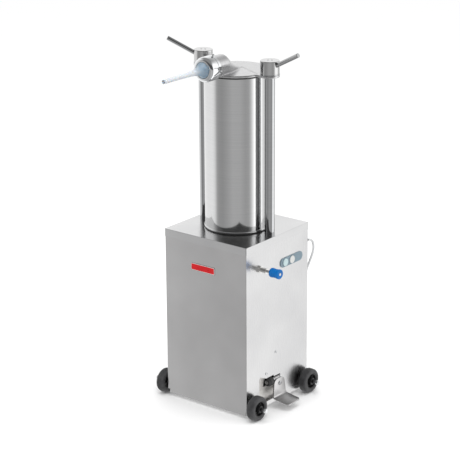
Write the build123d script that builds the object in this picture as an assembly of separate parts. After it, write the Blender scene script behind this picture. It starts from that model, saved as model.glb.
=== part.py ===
from build123d import *
import math
import os

# Hydraulic floor-standing sausage stuffer, in millimetres.
# Origin: on the floor under the centre of the cabinet. +X: control side, -Y: nozzle side, +Z: up.

# ---------------------------------------------------------------- driving dimensions
HALF = 162.0                # half the width of the square cabinet, over its panels
SHEET = 1.5                 # stainless sheet
PANEL_BOTTOM = 25.0         # lower edge of the panels
CAP_TOP = 575.0             # upper face of the cabinet
CAP_RIM = 25.0              # height of the folded rim of the cap
BASE_THICK = 14.0           # steel base plate
PLATE_THICK = 14.5          # steel top plate that takes the tie rods
POST = 30.0                 # square posts between base plate and top plate
POST_AT = 143.5             # post centres

BARREL_OUT = 101.0          # meat barrel, outside radius
BARREL_IN = 98.0
BARREL_TOP = 1074.0
SEAL = 3.0                  # rubber rings under and over the barrel

ROD_AT = 130.0              # tie rods, left and right of the barrel
ROD_R = 16.0
STUD_R = 12.0               # M24 stud on each rod
STUD_TOP = 1120.0
LID_UNDER = 1077.0
LID_TOP = 1085.0
LID_R = 105.0
EAR_R = 31.0
GAP = 0.3                   # between faces of different moving bodies

NUT_R = 30.0
NUT_TOP = 1129.0
WASHER_THICK = 3.0
LEVER_R = 7.0
LEVER_REACH = 114.0         # lever tip from the rod axis
LEVER_ROOT_Z = 1102.0       # where the lever's axis meets the rod's axis
LEVER_TIP_Z = 1161.0
LEVER_ANGLES = {"left": -152.0, "right": -5.0}

OUTLET_Z = 1110.0           # axis of the outlet pipe, ring nut and nozzle
OUTLET_R = 33.5
OUTLET_BORE = 25.0
THROAT_Y = -74.0            # upright passage through the lid
THROAT_R = 20.0
THREAD_R = 30.5
THREAD_FROM = -120.0
OUTLET_END = -150.0
RING_R = 39.0
RING_FRONT = -166.0
LUG_R = 4.5
LUG_REACH = 47.0
LUG_ANGLES = (75.0, 255.0)
NOZZLE_TIP = -348.0
TIP_R = 7.4
TIP_BORE = 6.0

RAM_R = 20.0
PISTON_R = 97.4
PISTON_Z = (585.0, 617.0)
CYL_OUT = 40.0
CYL_IN = 32.0
RAM_HEAD_Z = (76.0, 98.0)

WHEEL_R = 40.0
WHEEL_Y = 140.0
WHEEL_X = (170.0, 200.0)    # inner and outer side of the tyre
AXLE_R = 6.0
RUNNING = 0.05              # radial clearance of a shaft in its bore

KNOB_Y = -95.6
KNOB_Z = 488.4
KNOB_X = (207.0, 243.0)
KNOB_R = 15.5
BUTTON_Z = 474.5
BUTTON_Y = (37.0, 72.5)
BUTTON_R = 12.5
PLATE_Y = (12.6, 129.3)     # ends of the button plate
PLATE_H = 30.0

NOTCH = ((-96, 0), (-96, 117), (-90, 122), (-60, 108), (-20, 108), (-19, 102), (14.5, 102), (16, 85),
         (40, 25), (40, 0))  # (y, z) of the pedal notch
RECESS_X = 146.0            # upright back of the recess behind the notch
CREASE_Z = 64.0             # where the back meets the sloping wall
SLOPE_TOP = 128.0           # where the sloping wall meets the side panel
PIVOT_X = 160.0             # pedal pivot, along Y
PIVOT_Z = 91.0
PEDAL_X = 169.0             # back face of the pedal plate
PEDAL_T = 4.0
BOLT_AT = (-1.0, 76.0)      # (y, z) of the pedal's bolt
TREAD_LENGTH = 61.0
TREAD_DIP = 8.0             # degrees below level
SPOOL_X = 130.0
SPOOL_Y = -8.0
SPOOL_R = 4.0
VALVE_BOTTOM = 122.0
EAR_Y = (-24.5, 7.0)        # first faces of the bracket's two ears
EAR_T = 5.0
ARM_T = 6.0                 # thickness of the pedal's inner arm

MOTOR_X = -92.0
MOTOR_Y = -78.0
MOTOR_R = 54.0
SHAFT_R = 9.0

CORD_R = 3.7
GLAND_X = 140.0
GLAND_Z = 503.0
RELIEF_END = 190.0
COIL_X = -40.0
COIL_Y = 250.7
COIL_R = 39.5               # middle of the coil's turns
COIL_HALF_WIDTH = 15.4
COIL_TOP = 15.0
PLUG_X = -76.0              # rear end of the plug, which lies beside the coil
PLUG_Y = 203.0
PLUG_Z = 18.1


# ---------------------------------------------------------------- helpers
def slab(x0, x1, y0, y1, z0, z1):
    """A block between two opposite corners."""
    return Pos((x0 + x1) / 2, (y0 + y1) / 2, (z0 + z1) / 2) * Box(x1 - x0, y1 - y0, z1 - z0)


def rod_x(radius, x0, x1, y, z):
    return Pos((x0 + x1) / 2, y, z) * Rot(0, 90, 0) * Cylinder(radius, x1 - x0)


def rod_y(radius, y0, y1, x, z):
    return Pos(x, (y0 + y1) / 2, z) * Rot(90, 0, 0) * Cylinder(radius, y1 - y0)


def rod_z(radius, z0, z1, x=0.0, y=0.0):
    return Pos(x, y, (z0 + z1) / 2) * Cylinder(radius, z1 - z0)


def ring_z(outer, inner, z0, z1, x=0.0, y=0.0):
    return rod_z(outer, z0, z1, x, y) - rod_z(inner, z0 - 1, z1 + 1, x, y)


def turned(points):
    """Revolves a closed outline of (radius, height) points about Z."""
    outline = Plane.XZ * Polyline(*points, close=True)
    return revolve(make_face(outline), Axis.Z, 360)


def along_minus_y(shape, y, x=0.0, z=0.0):
    """Lays a shape that was turned about Z along -Y, its zero height at y."""
    return Pos(x, y, z) * Rot(90, 0, 0) * shape


def along_x(shape, x, y, z, side=1):
    """Lays a shape that was turned about Z along +X or -X, its zero height at x."""
    return Pos(x, y, z) * Rot(0, 90 * side, 0) * shape


def tube(points, radius, radii):
    """A round bar that follows straight runs joined by arcs."""
    path = FilletPolyline(*points, radius=radii)
    start = Plane(origin=path @ 0, z_dir=path % 0)
    return sweep(start * Circle(radius), path=path)


def bend_radii(points):
    """For each corner, 0.45 of its shorter run over the tangent of half its turn."""
    radii = []
    for before, here, after in zip(points, points[1:], points[2:]):
        run_in = Vector(*here) - Vector(*before)
        run_out = Vector(*after) - Vector(*here)
        half_turn = math.radians(run_in.get_angle(run_out)) / 2
        radii.append(0.45 * min(run_in.length, run_out.length) / math.tan(half_turn))
    return radii


def prism_x(points, x0, x1):
    """Pulls a closed outline of (y, z) points along X."""
    outline = make_face(Plane.YZ * Polyline(*points, close=True))
    return extrude(Pos(x0, 0, 0) * outline, x1 - x0, dir=(1, 0, 0))


def prism_y(points, y0, y1):
    """Pulls a closed outline of (x, z) points along Y."""
    outline = make_face(Plane.XZ * Polyline(*points, close=True))
    return extrude(Pos(0, y0, 0) * outline, y1 - y0, dir=(0, 1, 0))


def save(node, shape):
    solids = shape if isinstance(shape, list) else [shape]
    whole = solids[0] if len(solids) == 1 else Compound(children=solids)
    export_step(whole, "parts/" + node + ".step")


# ---------------------------------------------------------------- cabinet
def base_plate():
    plate = slab(-HALF + 3, HALF - 3, -HALF + 3, HALF - 3, PANEL_BOTTOM - BASE_THICK, PANEL_BOTTOM)
    return fillet(plate.edges().filter_by(Axis.Z), 6)


def inner_frame():
    """Four square posts under the plate that carries the barrel and the tie rods."""
    plate_z = CAP_TOP - SHEET - PLATE_THICK
    plate = slab(-155, 155, -155, 155, plate_z, CAP_TOP - SHEET)
    for side in (-1, 1):
        plate -= rod_z(STUD_R, plate_z - 1, CAP_TOP, side * ROD_AT)
    plate -= rod_z(RAM_R + GAP, plate_z - 1, CAP_TOP)
    pieces = [plate]
    for sx in (-1, 1):
        for sy in (-1, 1):
            post = Pos(sx * POST_AT, sy * POST_AT, (PANEL_BOTTOM + plate_z) / 2) * (
                Box(POST, POST, plate_z - PANEL_BOTTOM) - Box(POST - 4, POST - 4, plate_z))
            post -= rod_x(AXLE_R, sx * POST_AT - 20, sx * POST_AT + 20, sy * WHEEL_Y, WHEEL_R)
            pieces.append(post - rod_y(9, POST_AT, HALF, GLAND_X, GLAND_Z))
    return pieces


def front_panel():
    panel = slab(-HALF, HALF, -HALF, -HALF + SHEET, PANEL_BOTTOM, CAP_TOP - SHEET)
    return fillet(panel.edges().filter_by(Axis.Z).group_by(Axis.Y)[0], 1.2)


def side_panel(side):
    x0, x1 = sorted((side * (HALF - SHEET), side * HALF))
    panel = slab(x0, x1, -HALF + SHEET, HALF - SHEET, PANEL_BOTTOM, CAP_TOP - SHEET)
    for y in (-WHEEL_Y, WHEEL_Y):
        panel -= rod_x(AXLE_R, x0 - 1, x1 + 1, y, WHEEL_R)
    return panel


def right_side_panel():
    """The control side: a notch for the pedal, holes for the buttons and the speed valve."""
    panel = side_panel(1)
    panel -= prism_x(NOTCH, HALF - 5, HALF + 5)
    for y in BUTTON_Y:
        panel -= rod_x(BUTTON_R + GAP, HALF - 5, HALF + 1, y, BUTTON_Z)
    return panel - rod_x(8, HALF - 5, HALF + 1, KNOB_Y, KNOB_Z)


def rear_cover():
    """Removable back with two columns of cooling slots and the hole for the cord gland."""
    cover = slab(-HALF, HALF, HALF - SHEET, HALF, PANEL_BOTTOM, CAP_TOP - SHEET)
    cover = fillet(cover.edges().filter_by(Axis.Z).group_by(Axis.Y)[-1], 1.2)
    for column in (-62, 62):
        for row in range(9):
            z = 250 + 14 * row
            cover -= slab(column - 32, column + 32, HALF - 3, HALF + 1, z, z + 5)
    return cover - rod_y(6, HALF - 3, HALF + 1, GLAND_X, GLAND_Z)


def top_cap():
    """Folded cap, its rim outside the panels."""
    out = HALF + SHEET
    cap = slab(-out, out, -out, out, CAP_TOP - CAP_RIM, CAP_TOP)
    cap = fillet(cap.edges().filter_by(Axis.Z), 3)
    cap = fillet(cap.edges().group_by(Axis.Z)[-1], 1.2)
    cap -= slab(-HALF, HALF, -HALF, HALF, CAP_TOP - CAP_RIM - 1, CAP_TOP - SHEET)
    for side in (-1, 1):
        cap -= rod_z(STUD_R, CAP_TOP - 5, CAP_TOP + 1, side * ROD_AT)
    return cap - rod_z(RAM_R + GAP, CAP_TOP - 5, CAP_TOP + 1)


def recess_space(y0, y1, back, inner_x):
    """Prism under the recess's sloping wall, `back` behind the visible faces and open at `inner_x`."""
    slope = (SLOPE_TOP - CREASE_Z) / (HALF - SHEET - RECESS_X)
    lift = back * math.hypot(1, slope)
    mouth = SLOPE_TOP + lift + slope * (inner_x - HALF + SHEET)
    crease = CREASE_Z + lift - slope * back
    return prism_y(((inner_x, mouth), (RECESS_X - back, crease), (RECESS_X - back, PANEL_BOTTOM),
                    (inner_x, PANEL_BOTTOM)), y0, y1)


def pedal_recess():
    """Shallow pocket behind the notch: a sloping wall with windows for the pivot, and an upright back."""
    pocket = recess_space(-98, 45, SHEET, HALF - SHEET)
    pocket -= recess_space(-98 + SHEET, 45 - SHEET, 0, HALF)
    for y0, y1 in ((-59.5, EAR_Y[0]), (EAR_Y[0] + EAR_T, EAR_Y[1])):
        pocket -= slab(RECESS_X - 4, HALF - SHEET, y0, y1, 74, 109)
    return pocket - pedal_bracket()


def panel_screws():
    """Dome-headed screws in the control side and the rear cover."""
    screws = []
    for y, z in ((-59, 124), (-9, 183)):
        screws.append(rod_x(5, HALF, HALF + 3, y, z))
    for x in (-150, 150):
        for z in (60, 300, 535):
            screws.append(rod_y(4.5, HALF, HALF + 2.5, x, z))
    return [fillet(screw.edges().filter_by(GeomType.CIRCLE), 1.0) for screw in screws]


def badge_plate():
    """Plain enamel plate on the front, without lettering."""
    plate = slab(-58, 38, -HALF - 1.2, -HALF, 459, 484)
    return fillet(plate.edges().filter_by(Axis.Y), 4)


# ---------------------------------------------------------------- barrel, tie rods, hydraulics
def barrel():
    """Open meat barrel with a rolled rim at its foot."""
    foot = CAP_TOP + SEAL
    wall = ring_z(BARREL_OUT, BARREL_IN, foot, BARREL_TOP)
    rim = ring_z(BARREL_OUT + 2.5, BARREL_IN, foot, foot + 6)
    rim = fillet(rim.edges().filter_by(GeomType.CIRCLE).sort_by(SortBy.RADIUS)[-2:], 2)
    return wall + rim


def barrel_seal():
    return ring_z(BARREL_OUT + 2.0, BARREL_IN - 1, CAP_TOP, CAP_TOP + SEAL)


def tie_rods():
    rods = []
    for side in (-1, 1):
        body = rod_z(ROD_R, CAP_TOP, LID_UNDER - GAP, side * ROD_AT)
        thread = rod_z(STUD_R, CAP_TOP - 30, STUD_TOP, side * ROD_AT)
        nut = Pos(side * ROD_AT, 0, CAP_TOP - SHEET - PLATE_THICK - 14) * extrude(RegularPolygon(20, 6), 14)
        rods.append(body + thread + nut)
    return rods


def hydraulic_cylinder():
    """Welded cylinder with a bottom cap, a gland at the top and two port bosses."""
    top = CAP_TOP - SHEET - PLATE_THICK
    body = rod_z(CYL_OUT, PANEL_BOTTOM, top) + rod_z(CYL_OUT + 8, top - 14, top)
    body += rod_z(CYL_OUT + 8, PANEL_BOTTOM, PANEL_BOTTOM + 14)
    body += rod_x(9, 30, 50, 0, 60) + rod_x(9, 30, 50, 0, 528)
    body -= rod_z(CYL_IN, PANEL_BOTTOM + 20, top - 14)
    return body - rod_z(RAM_R + RUNNING, top - 20, top + 1)


def ram_rod():
    """Chromed ram with its head inside the hydraulic cylinder."""
    rod = rod_z(RAM_R, RAM_HEAD_Z[0], PISTON_Z[0])
    return rod + rod_z(CYL_IN - RUNNING, *RAM_HEAD_Z)


def meat_piston():
    piston = rod_z(PISTON_R, *PISTON_Z)
    piston = fillet(piston.edges().filter_by(GeomType.CIRCLE), 2)
    for z in (591, 604):
        piston -= ring_z(PISTON_R + 1, PISTON_R - 3, z, z + 6)
    return piston


def piston_seals():
    return [ring_z(BARREL_IN - 0.25, PISTON_R - 3, z, z + 6) for z in (591, 604)]


def oil_tank():
    """Steel oil tank with a round opening for the pump in its top."""
    tank = slab(-150, -52, -126, 30, PANEL_BOTTOM, 190)
    tank -= slab(-147, -55, -123, 27, PANEL_BOTTOM + 3, 185)
    return tank - rod_z(30, 180, 195, MOTOR_X, MOTOR_Y)


def gear_pump():
    """Immersed gear pump that hangs from its flange."""
    body = rod_z(29, 100, 190, MOTOR_X, MOTOR_Y) + rod_z(42, 190, 198, MOTOR_X, MOTOR_Y)
    return body - rod_z(SHAFT_R + GAP, 148, 199, MOTOR_X, MOTOR_Y)


def electric_motor():
    """Finned stator housing with end shields and a fan cowl."""
    housing = rod_z(MOTOR_R, 198, 420, MOTOR_X, MOTOR_Y) - rod_z(31, 206, 372, MOTOR_X, MOTOR_Y)
    housing -= rod_z(MOTOR_R - 2, 382, 418, MOTOR_X, MOTOR_Y)
    housing -= rod_z(SHAFT_R + RUNNING, 197, 390, MOTOR_X, MOTOR_Y)
    for index in range(24):
        turn = Pos(MOTOR_X, MOTOR_Y, 290) * Rot(0, 0, 15 * index)
        housing -= turn * Pos(MOTOR_R, 0, 0) * Box(8, 6, 150)
    return housing


def motor_rotor():
    """Shaft, rotor pack and the cooling fan at its end."""
    rotor = rod_z(SHAFT_R, 152, 405, MOTOR_X, MOTOR_Y) + rod_z(30, 212, 366, MOTOR_X, MOTOR_Y)
    rotor += rod_z(16, 388, 400, MOTOR_X, MOTOR_Y)
    for index in range(7):
        turn = Pos(MOTOR_X, MOTOR_Y, 394) * Rot(0, 0, index * 360 / 7)
        rotor += turn * Pos(30, 0, 0) * Box(32, 2.5, 12)
    return rotor


def valve_block():
    block = slab(112, 148, -30, 14, VALVE_BOTTOM, 184)
    block = fillet(block.edges().filter_by(Axis.Z), 2)
    return block - rod_z(SPOOL_R + GAP, 121, 178, SPOOL_X, SPOOL_Y)


def valve_spool():
    """Spool with two collars that straddle the pedal's inner arm."""
    half_gap = ARM_T / 2 + 1.6
    spool = rod_z(SPOOL_R, PIVOT_Z - 12, 166, SPOOL_X, SPOOL_Y)
    for z in (PIVOT_Z - half_gap - 2.4, PIVOT_Z + half_gap):
        spool += rod_z(8, z, z + 2.4, SPOOL_X, SPOOL_Y)
    return spool


def spool_spring():
    """Return spring between the spool's upper collar and the valve block."""
    low = PIVOT_Z + ARM_T / 2 + 4.0
    high = VALVE_BOTTOM
    wire = 0.6
    path = Helix(pitch=(high - low - 2 * wire) / 3, height=high - low - 2 * wire, radius=6.2)
    coil = sweep(Plane(origin=path @ 0, z_dir=path % 0) * Circle(wire), path=path, is_frenet=True)
    return Pos(SPOOL_X, SPOOL_Y, low + wire) * coil


def flow_valve():
    """Speed valve: block inside the cabinet, bush and lock nut outside."""
    body = slab(120, HALF - SHEET, KNOB_Y - 20, KNOB_Y + 20, KNOB_Z - 19, KNOB_Z + 19)
    body += rod_x(8, 150, 190, KNOB_Y, KNOB_Z)
    nut = Pos(HALF, KNOB_Y, KNOB_Z) * Rot(0, 90, 0) * extrude(RegularPolygon(12, 6), 7)
    return body + nut - rod_x(4.5 + RUNNING, 140, 191, KNOB_Y, KNOB_Z)


def control_box():
    box = slab(105, 148, 5, 126, 438, 522)
    box = fillet(box.edges().filter_by(Axis.Z), 4)
    return box - slab(107, 149, 8, 123, 441, 519)


def hydraulic_hoses():
    """Pump to valve, valve to the lower port, speed valve to the upper port."""
    pump_line = [(-68, 14, 190), (-68, 14, 226), (-62, 66, 232), (66, 72, 196), (92, 16, 158), (112, -4, 158)]
    lower_line = [(112, -20, 140), (82, -20, 136), (70, -4, 60), (50, 0, 60)]
    upper_line = [(120, KNOB_Y, KNOB_Z), (92, KNOB_Y, 492), (80, -30, 526), (50, 0, 528)]
    lines = (pump_line, lower_line, upper_line)
    return [tube(line, 5.5, [min(r, 22) for r in bend_radii(line)]) for line in lines]


# ---------------------------------------------------------------- lid, clamps, nozzle
def lid():
    """Lid plate with two ears, and the outlet pipe that rises out of it and runs forward."""
    plate = rod_z(LID_R, LID_UNDER, LID_TOP)
    plate += slab(-ROD_AT, ROD_AT, -EAR_R, EAR_R, LID_UNDER, LID_TOP)
    for side in (-1, 1):
        plate += rod_z(EAR_R, LID_UNDER, LID_TOP, side * ROD_AT)
    sections = []
    for y, z, radius in ((-70, OUTLET_Z, OUTLET_R), (-36, 1095, 22), (-2, 1085, 12), (26, 1080, 5)):
        sections.append(Plane(origin=(0, y, z), z_dir=(0, 1, 0)) * Circle(radius))
    body = plate + loft(sections)
    body += rod_y(OUTLET_R, THREAD_FROM, -70, 0, OUTLET_Z)
    body += rod_y(THREAD_R, OUTLET_END, THREAD_FROM, 0, OUTLET_Z)
    body -= slab(-200, 200, -200, 200, LID_UNDER - 40, LID_UNDER)
    body -= rod_y(OUTLET_BORE, OUTLET_END - 1, THROAT_Y, 0, OUTLET_Z)
    body -= rod_z(THROAT_R, LID_UNDER - 1, OUTLET_Z, 0, THROAT_Y)
    body -= Pos(0, THROAT_Y, OUTLET_Z) * Sphere(OUTLET_BORE)
    body -= rod_z(STUD_R + RUNNING, LID_UNDER - 1, LID_TOP + 1, -ROD_AT)
    body -= rod_z(STUD_R + 0.6, LID_UNDER - 1, LID_TOP + 1, ROD_AT)
    slot_y = EAR_R + 5
    body -= slab(ROD_AT - STUD_R - 3.4, ROD_AT + STUD_R + 0.6, 0, slot_y, LID_UNDER - 1, LID_TOP + 1)
    return body


def lid_gasket():
    return ring_z(LID_R - 0.2, BARREL_IN - 4, BARREL_TOP + GAP, LID_UNDER)


def lever(side):
    """Slanting lever rod of a clamp nut."""
    x = -ROD_AT if side == "left" else ROD_AT
    tilt = math.degrees(math.atan2(LEVER_TIP_Z - LEVER_ROOT_Z, LEVER_REACH))
    length = math.hypot(LEVER_REACH, LEVER_TIP_Z - LEVER_ROOT_Z)
    start = 18.5
    bar = Pos(0, 0, (start + length) / 2) * Cylinder(LEVER_R, length - start)
    bar = fillet(bar.edges().filter_by(GeomType.CIRCLE).sort_by(Axis.Z)[-1], 1.5)
    return Pos(x, 0, LEVER_ROOT_Z) * Rot(0, 0, LEVER_ANGLES[side]) * Rot(0, 90 - tilt, 0) * bar


def clamp_nut(side):
    x = -ROD_AT if side == "left" else ROD_AT
    low = LID_TOP + GAP + WASHER_THICK + GAP
    nut = rod_z(NUT_R, low, NUT_TOP, x)
    nut = fillet(nut.edges().filter_by(GeomType.CIRCLE).sort_by(Axis.Z)[-1], 2)
    nut -= rod_z(STUD_R + RUNNING, low - 1, STUD_TOP + 4, x)
    for offset in (-6, 6):
        nut -= rod_z(2.8, NUT_TOP - 4, NUT_TOP + 1, x + offset * 0.8, offset * 0.6)
    return nut - lever(side)


def clamp_washer(side):
    x = -ROD_AT if side == "left" else ROD_AT
    low = LID_TOP + GAP
    return ring_z(NUT_R + 0.5, STUD_R + RUNNING, low, low + WASHER_THICK, x)


def nozzle():
    """Plastic filling nozzle: flange, flared cone and a long straight tube."""
    face = -OUTLET_END + GAP
    flange = face + 5.5
    throat = -RING_FRONT
    tip = -NOZZLE_TIP
    outer = Spline((24.6, throat), (16, throat + 18), (10.8, throat + 45), (9.4, throat + 75),
                   tangents=((-0.35, 1), (-0.03, 1)))
    inner = Spline((22.0, throat), (13.8, throat + 18), (8.8, throat + 45), (7.4, throat + 75),
                   tangents=((-0.35, 1), (-0.03, 1)))
    straight = tip - 80
    edges = [
        Line((22.0, face), (30.2, face)),
        Line((30.2, face), (30.2, flange)),
        Line((30.2, flange), (24.6, flange)),
        Line((24.6, flange), (24.6, throat)),
        outer,
        Line((9.4, throat + 75), (TIP_R, straight)),
        Line((TIP_R, straight), (TIP_R, tip)),
        Line((TIP_R, tip), (TIP_BORE, tip)),
        Line((TIP_BORE, tip), (TIP_BORE, straight)),
        Line((TIP_BORE, straight), (7.4, throat + 75)),
        inner,
        Line((22.0, throat), (22.0, face)),
    ]
    profile = Plane.XZ * make_face(edges)
    return along_minus_y(revolve(profile, Axis.Z, 360), 0, 0, OUTLET_Z)


def nozzle_ring_nut():
    """Union nut that holds the nozzle's flange on the outlet, with two grip lugs."""
    back = -THREAD_FROM + 0.6
    flange = -OUTLET_END + GAP + 5.5 + GAP
    front = -RING_FRONT
    nut = turned([(THREAD_R + GAP, back), (RING_R - 1, back), (RING_R, back + 1), (RING_R, front - 9),
                  (RING_R - 2.5, front - 3.5), (RING_R - 8, front), (25.4, front), (25.4, flange),
                  (THREAD_R + GAP, flange)])
    for angle in LUG_ANGLES:
        nut += Rot(0, 0, angle) * Pos(LUG_REACH - 8, 0, back + 6.5) * Rot(0, 90, 0) * Cylinder(LUG_R, 16)
    return along_minus_y(nut, 0, 0, OUTLET_Z)


# ---------------------------------------------------------------- controls
def button_plate():
    plate = slab(HALF, HALF + 2.5, *PLATE_Y, BUTTON_Z - PLATE_H / 2, BUTTON_Z + PLATE_H / 2)
    plate = fillet(plate.edges().filter_by(Axis.X), PLATE_H / 2 - 0.5)
    for y in BUTTON_Y:
        plate -= rod_x(BUTTON_R + GAP, HALF - 1, HALF + 4, y, BUTTON_Z)
    return plate


def button(index):
    cap = rod_x(BUTTON_R, 152, HALF + 5.5, BUTTON_Y[index], BUTTON_Z)
    return fillet(cap.edges().filter_by(GeomType.CIRCLE).sort_by(Axis.X)[-1], 1.5)


def speed_knob():
    """Waisted knob on the spindle of the speed valve."""
    length = KNOB_X[1] - KNOB_X[0]
    knob = turned([(0, 0), (12.5, 0), (KNOB_R - 0.5, 4), (KNOB_R - 0.5, 9), (13.2, 15), (13.2, length - 13),
                   (KNOB_R, length - 6), (KNOB_R, length - 2.5), (KNOB_R - 2.5, length), (0, length)])
    spindle = rod_x(4.5, 145, KNOB_X[0] + 1, KNOB_Y, KNOB_Z)
    return along_x(knob, KNOB_X[0], KNOB_Y, KNOB_Z) + spindle


# ---------------------------------------------------------------- pedal
def pedal_bracket():
    """Two ears that pass through the recess's sloping wall, with the pivot pin across them."""
    bracket = rod_y(AXLE_R, -56, 13, PIVOT_X, PIVOT_Z)
    for y in EAR_Y:
        bracket += slab(RECESS_X - 6, PIVOT_X, y, y + EAR_T, PIVOT_Z - 8.5, PIVOT_Z + 8.5)
        bracket += rod_y(8.5, y, y + EAR_T, PIVOT_X, PIVOT_Z)
    return bracket


def pedal_lever():
    """Hub on the pivot pin, with a pad for the pedal plate and a forked arm to the spool."""
    y0, y1 = -18, 5
    hub = rod_y(8.5, y0, y1, PIVOT_X, PIVOT_Z) + slab(PIVOT_X - 4, PEDAL_X, y0, y1, 62, PIVOT_Z)
    arm = slab(122, PIVOT_X, SPOOL_Y - 9, SPOOL_Y + 9, PIVOT_Z - ARM_T / 2, PIVOT_Z + ARM_T / 2)
    arm -= slab(121, SPOOL_X + 5.5, SPOOL_Y - 5, SPOOL_Y + 5, PIVOT_Z - 9, PIVOT_Z + 9)
    body = hub + arm - rod_y(AXLE_R + RUNNING, y0 - 1, y1 + 1, PIVOT_X, PIVOT_Z)
    return body - rod_x(4, PIVOT_X - 9, PEDAL_X + 1, *BOLT_AT)


def pedal_hub():
    """Black rubber roller over the pivot, beside the lever."""
    roller = turned([(8.7, 0), (8.7, 5.5), (13, 6), (14.5, 8.5), (14.5, 22), (12.5, 25), (12.5, 28),
                     (11, 31), (AXLE_R + RUNNING, 31), (AXLE_R + RUNNING, 0)])
    return along_minus_y(roller, EAR_Y[0] - GAP, PIVOT_X, PIVOT_Z)


def pedal_plate():
    """Bent plate: a round-topped upright bolted to the lever, and a foot tread that dips outwards."""
    outline = ((-34, 30), (-30, 84), (-26, 90), (-18, 94), (8, 95), (17, 91), (24, 80), (33, 30))
    upright = prism_x(outline, PEDAL_X, PEDAL_X + PEDAL_T)
    tread = slab(0, TREAD_LENGTH, -34, 33, -PEDAL_T, 0)
    tread = fillet(tread.edges().filter_by(Axis.Z).group_by(Axis.X)[-1], 10)
    tread = Pos(PEDAL_X, 0, 30 + PEDAL_T) * Rot(0, TREAD_DIP, 0) * tread
    return upright + tread - rod_x(4, PEDAL_X - 1, PEDAL_X + PEDAL_T + 1, *BOLT_AT)


def pedal_bolt():
    face = PEDAL_X + PEDAL_T
    bolt = rod_x(4, PIVOT_X - 3, face, *BOLT_AT) + rod_x(7, face, face + 3.5, *BOLT_AT)
    return fillet(bolt.edges().filter_by(GeomType.CIRCLE).sort_by(Axis.X)[-1], 1.5)


# ---------------------------------------------------------------- wheels
def wheel_axles():
    """Shoulder bolts in the posts, each with a spacer collar and a long polished head."""
    axles = []
    for sx in (-1, 1):
        for sy in (-1, 1):
            axle = turned([(0, 0), (AXLE_R, 0), (AXLE_R, 14), (11, 14), (11, WHEEL_X[0] - 148 - GAP),
                           (AXLE_R, WHEEL_X[0] - 148 - GAP), (AXLE_R, 54.6), (7.5, 54.6), (7.5, 75),
                           (6.5, 76), (0, 76)])
            axles.append(along_x(axle, sx * 148, sy * WHEEL_Y, WHEEL_R, sx))
    return axles


def wheel_shape(points, sx, sy):
    return along_x(turned(points), sx * WHEEL_X[0], sy * WHEEL_Y, WHEEL_R, sx)


def tyre(sx, sy):
    width = WHEEL_X[1] - WHEEL_X[0]
    return wheel_shape([(27, 1), (34, 0), (38.5, 2), (WHEEL_R, 6), (WHEEL_R, width - 6), (38.5, width - 2),
                        (34, width), (27, width - 1)], sx, sy)


def wheel_hub(sx, sy):
    """Hub with a rim, a web with five windows and a bored boss."""
    hub = turned([(AXLE_R + RUNNING, 0), (11, 0), (11, 12), (22.5, 12), (22.5, 2), (27, 2), (27, 28),
                  (22.5, 28), (22.5, 17), (12, 17), (12, 32), (AXLE_R + RUNNING, 32)])
    for index in range(5):
        hub -= Rot(0, 0, 72 * index) * Pos(17.2, 0, 14) * Box(7, 9, 10)
    return along_x(hub, sx * WHEEL_X[0], sy * WHEEL_Y, WHEEL_R, sx)


# ---------------------------------------------------------------- mains cord
CORD_ROUTE = [
    (140, 190, 503), (140, 204, 501.2), (140, 217.5, 492), (139.5, 226, 476), (138, 227, 455),
    (133, 217, 426), (124, 205, 386), (113, 197, 334), (102, 192, 270), (92, 190, 202), (83, 191, 136),
    (71, 193, 80), (54, 195, 38), (30, 197, 13), (2, 198.6, 4.4), (-26, 199.6, 3.9), (-40, 199.7, 3.8),
]


def cord_gland():
    """Gland through the rear cover: inner nut, flange and outer hex."""
    body = rod_y(6, HALF - 8, HALF + 8, GLAND_X, GLAND_Z) + rod_y(11, HALF, HALF + 3, GLAND_X, GLAND_Z)
    hexagon = Pos(GLAND_X, HALF + 3, GLAND_Z) * Rot(-90, 0, 0) * extrude(RegularPolygon(9.5, 6), 5)
    return body + hexagon


def cord_strain_relief():
    """Tapered sleeve on the first stretch of the cord."""
    sleeve = turned([(0, 0), (4.6, 0), (7.5, 18), (7.5, 20), (0, 20)])
    return along_minus_y(sleeve, RELIEF_END, GLAND_X, GLAND_Z)


def power_cord():
    radii = bend_radii(CORD_ROUTE)
    print("cord arc radii:", [round(radius, 1) for radius in radii])
    cord = tube(CORD_ROUTE, CORD_R, radii)
    path = FilletPolyline(*CORD_ROUTE, radius=radii)
    ideal = math.pi * CORD_R ** 2 * path.length
    print("cord length", round(path.length, 1), "volume over section times length", round(cord.volume / ideal, 4))
    return cord


def cord_coil():
    """Outer shape of the five turns that lie on the floor in two layers."""
    inner, outer = COIL_R - COIL_HALF_WIDTH, COIL_R + COIL_HALF_WIDTH
    return Pos(COIL_X, COIL_Y, 0) * turned([
        (inner, CORD_R), (inner + 2, 0.1), (outer - 2, 0.1), (outer, CORD_R),
        (outer - 3, COIL_TOP), (inner + 3, COIL_TOP)])


def mains_plug():
    """Round two-pin earthed plug that lies beside the coil."""
    body = turned([(0, 0), (5, 0), (7, 14), (12, 20), (17.5, 26), (18, 30), (18, 52), (16.5, 54), (0, 54)])
    pins = [Pos(side * 9.5, 0, 63) * Cylinder(2.4, 19) for side in (-1, 1)]
    plug = body + pins[0] + pins[1]
    return Pos(PLUG_X, PLUG_Y, PLUG_Z) * Rot(0, -90, 0) * plug


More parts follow.
